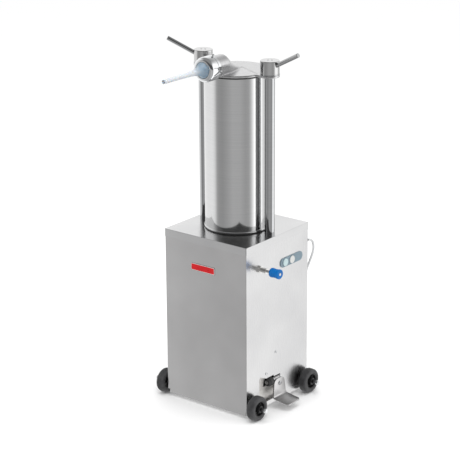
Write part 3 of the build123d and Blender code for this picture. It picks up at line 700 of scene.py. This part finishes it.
# %% Strain relief
def ribbed_taper(radius_start, radius_end, length, ribs, depth):
    """The outer line of a tapered sleeve with rounded ribs."""
    line = []
    for index in range(ribs * 4 + 1):
        along = index / (ribs * 4)
        radius = radius_start + (radius_end - radius_start) * along
        line.append((radius - (depth if index % 4 in (2, 3) else 0), length * along))
    return line


relief_low, relief_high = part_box("cord_strain_relief")
relief_length = (relief_high.y - relief_low.y) / MM
sleeve_line = ribbed_taper(7.4, 4.7, relief_length, 5, 0.7)
sleeve = turned([(0, 0)] + sleeve_line + [(0, relief_length)], steps=48, closed=False)
lay(sleeve, (middle("cord_strain_relief").x, relief_low.y, middle("cord_strain_relief").z), ALONG_Y)
strain_relief = finish_piece(sleeve, "strain_relief", black_rubber, "cabinet",
                             ["cord_strain_relief"], sharp=50)

# %% Plug
PIN_OFFSET = 9.5                # of each pin from the plug's axis
plug_low, plug_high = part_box("mains_plug")
plug_axis_z = (plug_low.z + plug_high.z) / 2
plug_axis_y = (plug_low.y + plug_high.y) / 2
boot = ribbed_taper(5.0, 7.6, 16, 4, 0.8)
plug_line = boot + [(11, 19), (14.6, 23), (17, 27.5), (17.9, 32)]
for rib in range(5):
    start = 34 + 3 * rib
    plug_line += [(17.9, start), (17.1, start + 0.7), (17.1, start + 1.5), (17.9, start + 2.2)]
plug_line += [(17.9, 52.5), (16.8, 54), (0, 54)]
plug_body = turned([(0, 0)] + plug_line, steps=72, closed=False)
pin = turned([(0, 50), (2.4, 50), (2.4, 71), (1.6, 72.5), (0, 72.5)], steps=24, closed=False)
plug_place = (plug_high.x, plug_axis_y, plug_axis_z)
lay(plug_body, plug_place, ALONG_MINUS_X)
plug = finish_piece(plug_body, "plug", plug_plastic, "cabinet", ["mains_plug"], sharp=40)
pins = bmesh.new()
for side in (-1, 1):
    stamp(pins, pin, (plug_high.x, plug_axis_y, plug_axis_z + side * PIN_OFFSET * MM), ALONG_MINUS_X)
pin.free()
plug_pins = finish_piece(pins, "plug_pins", rod_steel, "cabinet")

# %% [markdown]
# ## The filling nozzle
#
# The nozzle is moulded in one piece: a flange that the union nut holds, a trumpet that gathers the
# meat, and a long, slightly tapered tube. Its wall shows at the tip, so both sides of the wall are in
# the section, and the wall is thicker where the nozzle is wider. The trumpet follows an exponential,
# which leaves the flange steeply and runs out into the tube with no visible join.

# %% Nozzle section and piece
outlet_z = middle("nozzle").z
nozzle_low, nozzle_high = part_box("nozzle")
nozzle_length = (nozzle_high.y - nozzle_low.y) / MM
FLANGE_R, FLANGE_THICK = 30.2, 5.5
TRUMPET_FROM = 15.7             # from the flange's back face, where the nut's front is
NECK_R, TUBE_R, TIP_R, WALL = 24.6, 9.2, 7.4, 1.4
TAPER_LENGTH = 100.0            # over which the tube narrows to its tip
TRUMPET_FALL = 16.0             # the trumpet's spare radius falls to a third over this distance
TRUMPET_STEPS = 26


def trumpet(distance):
    """Outside radius of the nozzle at a distance in front of the union nut."""
    straight = TUBE_R + (TIP_R - TUBE_R) * min(1, distance / TAPER_LENGTH)
    return straight + (NECK_R - TUBE_R) * math.exp(-distance / TRUMPET_FALL)


outer_line = [(NECK_R, FLANGE_THICK), (NECK_R, TRUMPET_FROM)]
reach = nozzle_length - TRUMPET_FROM
for index in range(1, TRUMPET_STEPS + 1):
    distance = reach * (index / TRUMPET_STEPS) ** 1.8
    outer_line.append((trumpet(distance), TRUMPET_FROM + distance))
lip = outer_line.pop()
inner_line = [(radius - WALL * (1.5 + radius / 24), height) for radius, height in outer_line]
tip_line = [(lip[0] - inward, lip[1] - back) for inward, back in ((0, 1.0), (0.4, 0.2), (0.8, 0), (1.6, 0.6))]
section = [(22, 0), (FLANGE_R - 0.6, 0), (FLANGE_R, 0.6), (FLANGE_R, FLANGE_THICK - 0.6),
           (FLANGE_R - 0.6, FLANGE_THICK)]
section += outer_line + tip_line + list(reversed(inner_line))
nozzle_shape = turned(section, steps=72)
lay(nozzle_shape, (0, nozzle_high.y, outlet_z), ALONG_MINUS_Y)
finish_piece(nozzle_shape, "filling_nozzle", nozzle_plastic, "nozzle", ["nozzle"])

# %% [markdown]
# ## The union nut
#
# The nut that holds the nozzle is turned, chromed and has two short grip lugs across it, so that it
# can be knocked loose with the hand. The body is spun, and each lug is a rod with a domed end that
# is sunk into the body, which leaves the same line that a pressed-in pin has.

# %% Union nut
nut_low, nut_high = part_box("nozzle_ring_nut")
nut_length = (nut_high.y - nut_low.y) / MM
RING_R, RING_BORE, MOUTH_R, MOUTH_DEPTH = 39.0, 30.8, 25.4, 10.2
LUG_R, LUG_REACH, LUG_LENGTH, LUG_HEIGHT = 4.5, 47.0, 16.0, 6.5
LUG_ANGLES = (75.0, 255.0)
ring_section = [
    (RING_BORE, 0.6), (RING_BORE + 0.6, 0), (RING_R - 1.2, 0), (RING_R, 1.2), (RING_R, 11),
    (RING_R - 0.7, 11.6), (RING_R - 0.7, 13), (RING_R, 13.6),
    (RING_R, nut_length - 11), (RING_R - 0.6, nut_length - 7.8),
    (RING_R - 2.4, nut_length - 4), (RING_R - 5, nut_length - 1.5), (RING_R - 8, nut_length - 0.3),
    (RING_R - 9.5, nut_length), (MOUTH_R + 0.8, nut_length), (MOUTH_R, nut_length - 0.8),
    (MOUTH_R, nut_length - MOUTH_DEPTH), (RING_BORE, nut_length - MOUTH_DEPTH)]
ring_shape = turned(ring_section, steps=120)
lug = turned([(0, 0), (LUG_R, 0), (LUG_R, LUG_LENGTH - 1.6), (LUG_R - 0.5, LUG_LENGTH - 0.6),
              (LUG_R - 1.6, LUG_LENGTH), (0, LUG_LENGTH)], steps=32, closed=False)
for angle in LUG_ANGLES:
    turn = Matrix.Rotation(math.radians(angle), 4, "Z")
    place = turn @ Vector(((LUG_REACH - LUG_LENGTH) * MM, 0, LUG_HEIGHT * MM))
    stamp(ring_shape, lug, place, turn @ ALONG_X)
lug.free()
lay(ring_shape, (0, nut_high.y, outlet_z), ALONG_MINUS_Y)
finish_piece(ring_shape, "union_nut", chrome, "ring_nut", ["nozzle_ring_nut"])

# %% [markdown]
# ## The cast lid
#
# The lid is one casting: a flat plate with an ear over each tie rod, and an outlet that grows out of
# the plate like a drop. Where the outlet meets the plate a casting has a soft hollow, never a sharp
# line. Modelling that fillet by hand round such a shape is slow, so the CAD shape is copied, given an
# even skin of small quads by a voxel remesh, and smoothed. A shallow swage, a fold in the plate that
# stiffens it, is pressed in by lowering the vertices on one side of a line. They sink most along the
# line, and less and less away from it.

# %% Skin and smooth the casting
VOXEL = 0.0016
SMOOTHINGS = 7
casting = bmesh.new()
casting.from_mesh(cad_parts["lid"].data)
bmesh.ops.remove_doubles(casting, verts=casting.verts, dist=1e-5)
bmesh.ops.recalc_face_normals(casting, faces=casting.faces)
casting_mesh = bpy.data.meshes.new("lid_casting")
casting.to_mesh(casting_mesh)
casting.free()
casting_object = bpy.data.objects.new("lid_casting", casting_mesh)
bpy.context.scene.collection.objects.link(casting_object)
skin = casting_object.modifiers.new("skin", "REMESH")
skin.mode = "VOXEL"
skin.voxel_size = VOXEL
melt = casting_object.modifiers.new("melt", "SMOOTH")
melt.factor = 0.5
melt.iterations = SMOOTHINGS
bpy.context.view_layer.update()
graph = bpy.context.evaluated_depsgraph_get()
skinned = bpy.data.meshes.new_from_object(casting_object.evaluated_get(graph))
bpy.data.objects.remove(casting_object)
print("lid skin", len(skinned.polygons), "faces")

# %% Press the swage and finish the lid
SWAGE_FROM, SWAGE_TO = Vector((0.000, 0.030)), Vector((0.112, -0.0245))
SWAGE_DEPTH = 0.0011
SWAGE_WIDTH = 0.0016            # of the step itself
SWAGE_REACH = 0.02              # from the step to where the plate is level again
PLATE_R = 0.099                 # of the flat part of the plate
TOP_WITHIN = 0.0012             # a vertex this near to the plate's top belongs to it
lid_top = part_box("left_clamp_washer")[0].z - 0.0003
swage_run = (SWAGE_TO - SWAGE_FROM).normalized()
swage_side = Vector((-swage_run.y, swage_run.x))
casting = bmesh.new()
casting.from_mesh(skinned)
bpy.data.meshes.remove(skinned)
pressed = 0
for vertex in casting.verts:
    flat = Vector((vertex.co.x, vertex.co.y)) - SWAGE_FROM
    across = flat.dot(swage_side)
    along = flat.dot(swage_run)
    inside = math.hypot(vertex.co.x, vertex.co.y) < PLATE_R
    on_top = abs(vertex.co.z - lid_top) < TOP_WITHIN
    if inside and on_top and -SWAGE_REACH < across < 0 and along > 0:
        step = min(1, -across / SWAGE_WIDTH)
        levelling = 1 - (-across / SWAGE_REACH) ** 2
        vertex.co.z -= SWAGE_DEPTH * step * levelling
        pressed += 1
print("swage vertices", pressed)
finish_piece(casting, "cast_lid", lid_steel, "lid", ["lid"], sharp=75)

# %% [markdown]
# ## Wheels
#
# Each wheel is a grey rubber tyre on a black nylon hub. The tyre's section has a crowned tread with
# moulded grooves and a stepped side wall. The hub has a deep dish with five windows between its
# spokes. Four wheels are the same piece, so one loop makes them all, and each is laid from the inner
# face of its own CAD node, with its outer side away from the cabinet.

# %% Tyres
WHEELS = {"front_left": ALONG_MINUS_X, "front_right": ALONG_X,
          "rear_left": ALONG_MINUS_X, "rear_right": ALONG_X}
TYRE_R, TYRE_BORE = 40.0, 27.0
TREAD_CURVE = 0.0035            # how fast the tread falls off towards its sides
GROOVES = (8.2, 11.6, 15.0, 18.4, 21.8)
GROOVE_DEPTH = 0.9


def inner_face(node, axis):
    """The middle of the side of a wheel piece that faces the cabinet."""
    low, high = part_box(node)
    return (low.x if axis is ALONG_X else high.x, (low.y + high.y) / 2, (low.z + high.z) / 2)


def tyre_section(width):
    """Half section of the tyre, from its inner side to its outer side."""
    shoulder = [(TYRE_BORE, 1.4), (TYRE_BORE + 0.8, 0.6), (31.5, 0.5), (32.3, 1.1), (33.1, 0.5),
                (35.6, 1.0), (37.8, 2.6), (39.2, 5.0)]
    tread = []
    for groove in GROOVES:
        crown = TYRE_R - TREAD_CURVE * (groove - width / 2) ** 2
        tread += [(crown, groove - 1.0), (crown - GROOVE_DEPTH, groove - 0.6),
                  (crown - GROOVE_DEPTH, groove + 0.6), (crown, groove + 1.0)]
    return shoulder + tread + [(radius, width - height) for radius, height in reversed(shoulder)]


for corner, axis in WHEELS.items():
    low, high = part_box(corner + "_tyre")
    shape = turned(tyre_section((high.x - low.x) / MM), steps=112)
    lay(shape, inner_face(corner + "_tyre", axis), axis)
    finish_piece(shape, corner + "_wheel_tyre", tyre_rubber, corner + "_wheel",
                 [corner + "_tyre"])

# %% Hubs
HUB_SECTION = [(6.05, 0.5), (6.5, 0), (10.6, 0), (11, 0.4), (11, 12), (22.5, 12), (22.5, 2.6), (23, 2),
               (26.6, 2), (27, 2.6), (27, 27.4), (26.6, 28), (23.4, 28), (22.9, 27.4), (22.3, 20),
               (21, 17.6), (20, 17), (13.6, 17), (12.4, 17.8), (11.6, 20), (11.2, 31.4), (10.6, 32),
               (6.6, 32), (6.05, 31.4)]
WINDOWS = 5
WINDOW_SIZE, WINDOW_AT = (7, 10.5, 12), (17.2, 0, 14.5)


def wheel_hub(corner):
    """A dished hub with its windows cut through the dish."""
    hub = finish_piece(turned(HUB_SECTION, steps=96), corner + "_hub_dish", black_plastic,
                       corner + "_wheel", [corner + "_hub"])
    cutter = bmesh.new()
    for index in range(WINDOWS):
        bmesh.ops.rotate(cutter, verts=block(cutter, WINDOW_SIZE, WINDOW_AT), cent=(0, 0, 0),
                         matrix=Matrix.Rotation(2 * math.pi * index / WINDOWS, 3, "Z"))
    soften(cutter, 1.6, 3)
    subtract(hub, cutter)
    return hub


for corner, axis in WHEELS.items():
    hub = wheel_hub(corner)
    hub.data.transform(Matrix.Translation(inner_face(corner + "_hub", axis)) @ axis)
    hub.data.update()

# %% [markdown]
# ## The speed knob
#
# The knob is blue plastic, waisted so that it sits between two fingers, with fine ribs along its
# side. The ribs are made by pulling every fourth column of vertices inwards a little, which is
# quicker than cutting them. A white plug closes the screw hole in its end, and a bright spindle
# carries the knob out from the valve.

# %% Knob grip
knob_low, knob_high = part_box("speed_knob")
KNOB_LENGTH, KNOB_R = 36.0, 15.5
knob_x = knob_high.x - KNOB_LENGTH * MM
knob_y, knob_z = middle("speed_knob").y, middle("speed_knob").z
KNOB_COLUMNS, RIB_EVERY, RIB_DEPTH = 96, 4, 0.5
RIBS_OUTSIDE_R, RIBS_FROM, RIBS_TO = 12.9, 2.0, 34.5
knob_section = [(0, 0), (11.8, 0), (13.4, 0.8), (14.9, 3), (15.1, 5), (15.0, 8), (14.6, 10.6), (14.2, 14),
                (14.0, 18), (14.1, 22), (14.6, 25.4), (15.3, 28.4), (KNOB_R, 31), (KNOB_R, 33),
                (15.0, 34.8), (13.8, 35.8), (12.6, KNOB_LENGTH), (5.2, KNOB_LENGTH), (4.8, 35.2), (0, 35.2)]
knob_shape = turned(knob_section, steps=KNOB_COLUMNS, closed=False)
for vertex in knob_shape.verts:
    radius = math.hypot(vertex.co.x, vertex.co.y)
    column = round(math.atan2(vertex.co.y, vertex.co.x) / (2 * math.pi) * KNOB_COLUMNS)
    on_side = radius > RIBS_OUTSIDE_R * MM and RIBS_FROM * MM < vertex.co.z < RIBS_TO * MM
    if column % RIB_EVERY == 0 and on_side:
        shrink = 1 - RIB_DEPTH * MM / radius
        vertex.co.x *= shrink
        vertex.co.y *= shrink
lay(knob_shape, (knob_x, knob_y, knob_z), ALONG_X)
finish_piece(knob_shape, "knob_grip", blue_plastic, "speed_knob", ["speed_knob"], sharp=50)

# %% Knob's end plug and spindle
plug_shape = turned([(0, 35), (4.7, 35), (4.7, 35.6), (4.0, KNOB_LENGTH), (2, KNOB_LENGTH), (0, KNOB_LENGTH)],
                    steps=32, closed=False)
lay(plug_shape, (knob_x, knob_y, knob_z), ALONG_X)
finish_piece(plug_shape, "knob_end_plug", badge_white, "speed_knob")

spindle_end = (knob_x - knob_low.x) / MM + 0.5     # it reaches half a millimetre into the grip
spindle = turned([(0, 0), (4.0, 0), (4.5, 0.6), (4.5, spindle_end), (0, spindle_end)], steps=40, closed=False)
lay(spindle, (knob_low.x, knob_y, knob_z), ALONG_X)
finish_piece(spindle, "knob_spindle", bright_steel, "speed_knob")

# %% [markdown]
# ## Badge and button surrounds
#
# The front carries a plain enamelled badge: a red field with a pale line round it, in a thin steel
# tray, and no lettering. It starts as a box whose upright edges are rounded and whose face is inset
# twice, once for the rim and once for the sunk field. The buttons get a thin ring each, as real
# bezels have, and a fainter ring marks the place of a third button that isn't fitted.

# %% Badge
badge_low, badge_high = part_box("badge_plate")
badge_size = (badge_high - badge_low) / MM
TRAY_CORNER, TRAY_RIM, TRAY_SUNK = 4.0, 1.0, 0.5
tray = bmesh.new()
block(tray, (badge_size.x, badge_size.z, badge_size.y))
soften(tray, TRAY_CORNER, 6, edges=upright_edges(tray))
face = max(tray.faces, key=lambda item: item.calc_center_median().z)
bmesh.ops.inset_region(tray, faces=[face], thickness=TRAY_RIM * MM, depth=0)
bmesh.ops.inset_region(tray, faces=[face], thickness=0.3 * MM, depth=-TRAY_SUNK * MM)
soften(tray, 0.15, 2, degrees=50)
lay(tray, middle("badge_plate"), ALONG_MINUS_Y)
finish_piece(tray, "badge_tray", rod_steel, "cabinet", ["badge_plate"])

# %% Badge's pale line and red field
LAYER_THICK = 0.3


def badge_layer(name, margin, height, corner, finish):
    """A thin rounded sheet inside the tray, a margin in from its edge."""
    sheet = bmesh.new()
    block(sheet, (badge_size.x - 2 * margin, badge_size.z - 2 * margin, LAYER_THICK), (0, 0, height))
    soften(sheet, corner, 5, edges=upright_edges(sheet))
    lay(sheet, middle("badge_plate"), ALONG_MINUS_Y)
    finish_piece(sheet, name, finish, "cabinet")


badge_layer("badge_pale_line", 1.6, 0.10, 2.8, badge_white)
badge_layer("badge_red_field", 2.8, 0.22, 2.0, badge_enamel)

# %% Button bezels
def bezel(name, y, inner, outer, high):
    """A raised ring on the button plate."""
    ring = turned([(inner, 0), (outer, 0), (outer, high * 0.6), (outer - 0.4, high), (inner + 0.3, high),
                   (inner, high * 0.7)], steps=72)
    lay(ring, (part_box("button_plate")[1].x - 0.1 * MM, y, middle("button_plate").z), ALONG_X)
    finish_piece(ring, name, plate_plastic, "cabinet")


for button in ("start_button", "stop_button"):
    bezel(button + "_bezel", middle(button).y, 12.75, 13.9, 0.9)
spare_y = 2 * middle("stop_button").y - middle("start_button").y
bezel("blank_position_ring", spare_y, 11.2, 12.0, 0.35)

# %% [markdown]
# ## Screws and pedal
#
# The screws are dome heads with a cross recess. One head is spun, the cross is cut into it once, and
# the same mesh is stamped at every hole, so that the recesses are real and cost little. The pedal is
# a strip of plate that was cut to shape and bent: it starts as one edge at its top, is extruded down
# and round the bend row by row, and gets its thickness from Solidify.

# %% A cross-recessed head
RIM_SHARE = 0.35                # of the head's height, below the dome
CROSS_LONG, CROSS_WIDE = 1.15, 0.24     # of the head's radius
DOME_STEPS = 6


def cross_head(name, radius, height, recess):
    """A domed screw head on Z, with a cross cut into its top."""
    dome = [(0, 0), (radius, 0), (radius, height * RIM_SHARE)]
    for index in range(1, DOME_STEPS):
        angle = index / DOME_STEPS * math.pi / 2
        rise = RIM_SHARE + (1 - RIM_SHARE) * math.sin(angle)
        dome.append((radius * math.cos(angle * 0.86), height * rise))
    dome.append((0, height))
    head = bpy.data.objects.new(name, bpy.data.meshes.new(name))
    shape = turned(dome, steps=40, closed=False)
    shape.to_mesh(head.data)
    shape.free()
    bpy.context.scene.collection.objects.link(head)
    for along_x, along_y in ((CROSS_LONG, CROSS_WIDE), (CROSS_WIDE, CROSS_LONG)):
        slot = bmesh.new()
        block(slot, (radius * along_x, radius * along_y, height), (0, 0, height * 1.5 - recess))
        subtract(head, slot)
    shape = bmesh.new()
    shape.from_mesh(head.data)
    bpy.data.objects.remove(head)
    return shape


# %% Panel screws
SIDE_SCREWS = ((-58.6, 124), (-9, 183))             # Y and Z on the control side
REAR_SCREW_X, REAR_SCREW_Z = (-150, 150), (60, 300, 535)
panel_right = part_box("right_side_panel")[1].x
panel_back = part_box("rear_cover")[1].y
head = cross_head("screw_head", 4.5, 2.5, 1.2)
screws = bmesh.new()
for y, z in SIDE_SCREWS:
    stamp(screws, head, (panel_right, y * MM, z * MM), ALONG_X, math.radians(20))
for x in REAR_SCREW_X:
    for z in REAR_SCREW_Z:
        stamp(screws, head, (x * MM, panel_back, z * MM), ALONG_Y, math.radians(z))
head.free()
finish_piece(screws, "panel_screw_heads", chrome, "cabinet", ["panel_screws"], sharp=25)

# %% Pedal bolt
BOLT_HEAD_R, BOLT_HEAD_HIGH = 7.0, 3.5
bolt_low, bolt_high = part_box("pedal_bolt")
bolt_y, bolt_z = middle("pedal_bolt").y, middle("pedal_bolt").z
pedal_front = bolt_high.x - BOLT_HEAD_HIGH * MM
bolt_head = cross_head("bolt_head", BOLT_HEAD_R, BOLT_HEAD_HIGH, 1.9)
bolt = bmesh.new()
stamp(bolt, bolt_head, (pedal_front, bolt_y, bolt_z), ALONG_X, math.radians(35))
bolt_head.free()
shank_end = (pedal_front - bolt_low.x) / MM + 0.2       # a little into the head
shank = turned([(0, 0), (3.6, 0), (4, 0.5), (4, shank_end), (0, shank_end)], steps=32, closed=False)
stamp(bolt, shank, (bolt_low.x, bolt_y, bolt_z), ALONG_X)
shank.free()
finish_piece(bolt, "pedal_cross_bolt", rod_steel, "pedal", ["pedal_bolt"], sharp=25)

# %% Outline of the pedal plate, row by row
PEDAL_THICK = 4.0
BEND_R = 8.0                    # to the middle of the plate
DIP = math.radians(8)           # of the tread, below level
BEND_STEPS, CORNER_STEPS = 7, 6
TREAD_END, TREAD_CORNER = 60.0, 10.0
TREAD_LOW_Y, TREAD_HIGH_Y = -34, 33
BEND_Z = 38.65                  # where the bend starts
UPRIGHT_OUTLINE = [(94.6, -15, 8), (92.8, -20, 13), (90, -26, 18), (87, -28.4, 20.2), (83, -30, 22.5),
                   (78, -30.4, 24.4), (66, -31.3, 26.6), (50, -32.5, 29.4), (BEND_Z, -33.4, 31.4)]

upright_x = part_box("pedal_lever")[1].x / MM + PEDAL_THICK / 2
pedal_rows = [(upright_x, z, y_low, y_high) for z, y_low, y_high in UPRIGHT_OUTLINE]
for index in range(1, BEND_STEPS + 1):
    angle = index / BEND_STEPS * (math.pi / 2 - DIP)
    pedal_rows.append((upright_x + BEND_R * (1 - math.cos(angle)), BEND_Z - BEND_R * math.sin(angle),
                       TREAD_LOW_Y, TREAD_HIGH_Y))
bend_end_x, bend_end_z = pedal_rows[-1][:2]
flat_length = (TREAD_END - (bend_end_x - upright_x)) / math.cos(DIP) - TREAD_CORNER
reaches = [(flat_length * share, 0) for share in (0.3, 0.7, 1.0)]
for index in range(1, CORNER_STEPS + 1):
    angle = index / CORNER_STEPS * math.pi / 2
    reaches.append((flat_length + TREAD_CORNER * math.sin(angle), TREAD_CORNER * (1 - math.cos(angle))))
for reach, inset in reaches:
    pedal_rows.append((bend_end_x + reach * math.cos(DIP), bend_end_z - reach * math.sin(DIP),
                       TREAD_LOW_Y + inset, TREAD_HIGH_Y - inset))
print("pedal rows", len(pedal_rows))

# %% Extrude and thicken the pedal plate
strip = bmesh.new()
first_x, first_z, first_low, first_high = pedal_rows[0]
row = [strip.verts.new((first_x * MM, y * MM, first_z * MM)) for y in (first_low, first_high)]
edge = strip.edges.new(row)
for x, z, y_low, y_high in pedal_rows[1:]:
    moved = bmesh.ops.extrude_edge_only(strip, edges=[edge])["geom"]
    edge = next(item for item in moved if isinstance(item, bmesh.types.BMEdge))
    ends = sorted(edge.verts, key=lambda vertex: vertex.co.y)
    ends[0].co = (x * MM, y_low * MM, z * MM)
    ends[1].co = (x * MM, y_high * MM, z * MM)
bmesh.ops.recalc_face_normals(strip, faces=strip.faces)
pedal = finish_piece(strip, "foot_pedal", pedal_steel, "pedal", ["pedal_plate"], sharp=40)
thicken = pedal.modifiers.new("plate", "SOLIDIFY")
thicken.thickness = PEDAL_THICK * MM
thicken.offset = 0
round_off = pedal.modifiers.new("rounded", "BEVEL")
round_off.width = 0.7 * MM
round_off.segments = 2
round_off.limit_method = "ANGLE"
round_off.angle_limit = math.radians(50)

# %% [markdown]
# The spool's return spring shortens when the pedal goes down.

# %% Return spring
WIRE_R, SPRING_COILS, SPRING_STEPS = 0.6, 3, 40
spring_low, spring_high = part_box("spool_spring")
spring_height = (spring_high.z - spring_low.z) / MM
spring_r = (spring_high.x - spring_low.x) / MM / 2 - WIRE_R
spring_x, spring_y = middle("spool_spring").x, middle("spool_spring").y
spring = bmesh.new()
bmesh.ops.create_circle(spring, cap_ends=True, segments=10, radius=WIRE_R * MM,
                        matrix=Matrix.Translation((spring_r * MM, 0, WIRE_R * MM)) @ ALONG_MINUS_Y)
climb = (spring_height - 2 * WIRE_R) * MM / (SPRING_COILS * SPRING_STEPS)
bmesh.ops.spin(spring, geom=spring.verts[:] + spring.edges[:] + spring.faces[:], cent=(0, 0, 0),
               axis=(0, 0, 1), dvec=(0, 0, climb), angle=2 * math.pi * SPRING_COILS,
               steps=SPRING_COILS * SPRING_STEPS, use_duplicate=False, use_merge=False)
bmesh.ops.recalc_face_normals(spring, faces=spring.faces)
bmesh.ops.translate(spring, verts=spring.verts, vec=(spring_x, spring_y, spring_low.z))
return_spring = finish_piece(spring, "return_spring", pedal_steel, "cabinet",
                             ["spool_spring"], sharp=60)
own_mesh(return_spring)
print("spring height", round(spring_height, 2), "mm,", SPRING_COILS, "coils")

# %% [markdown]
# ## Finishes of the CAD nodes
#
# The other nodes already have the shape of the real part, so they keep their CAD mesh and get a
# finish that suits how each is made: brushed for folded sheet, polished for the barrel and rods,
# turned for the clamp nuts, paint for the motor and the tank.

# %% Give each CAD node its finish
NODE_FINISHES = {
    # darker, warmer copy of the side steel: painted shade on the front face
    shaded_panel_steel: ["front_panel", "rear_cover", "inner_frame", "base_plate"],
    side_steel: ["left_side_panel", "right_side_panel"],
    # lighter copy of the sheet steel: painted light inside the recess
    lit_recess_steel: ["pedal_recess"],
    cap_steel: ["top_cap"],
    barrel_steel: ["barrel"],
    rod_steel: ["tie_rods", "pedal_bracket", "left_clamp_washer", "right_clamp_washer", "left_clamp_lever"],
    # darker copy of rod_steel: painted shade on the right lever
    shaded_lever_steel: ["right_clamp_lever"],
    nut_steel: ["left_clamp_nut", "right_clamp_nut"],
    chrome: ["ram_rod", "wheel_axles"],
    bright_steel: ["flow_valve"],
    pedal_steel: ["pedal_lever", "valve_spool", "motor_rotor"],
    painted_steel: ["oil_tank", "hydraulic_cylinder", "gear_pump"],
    motor_paint: ["electric_motor"],
    aluminium: ["valve_block"],
    food_plastic: ["meat_piston"],
    black_rubber: ["barrel_seal", "lid_gasket", "piston_seals", "pedal_hub", "hydraulic_hoses"],
    black_plastic: ["control_box", "cord_gland"],
    plate_plastic: ["button_plate"],
    button_green: ["start_button"],
    button_white: ["stop_button"],
}
finished = 0
for finish, nodes in NODE_FINISHES.items():
    for node in nodes:
        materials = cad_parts[node].data.materials
        materials.clear()
        materials.append(finish)
        finished += 1
print("CAD nodes with their finish", finished)
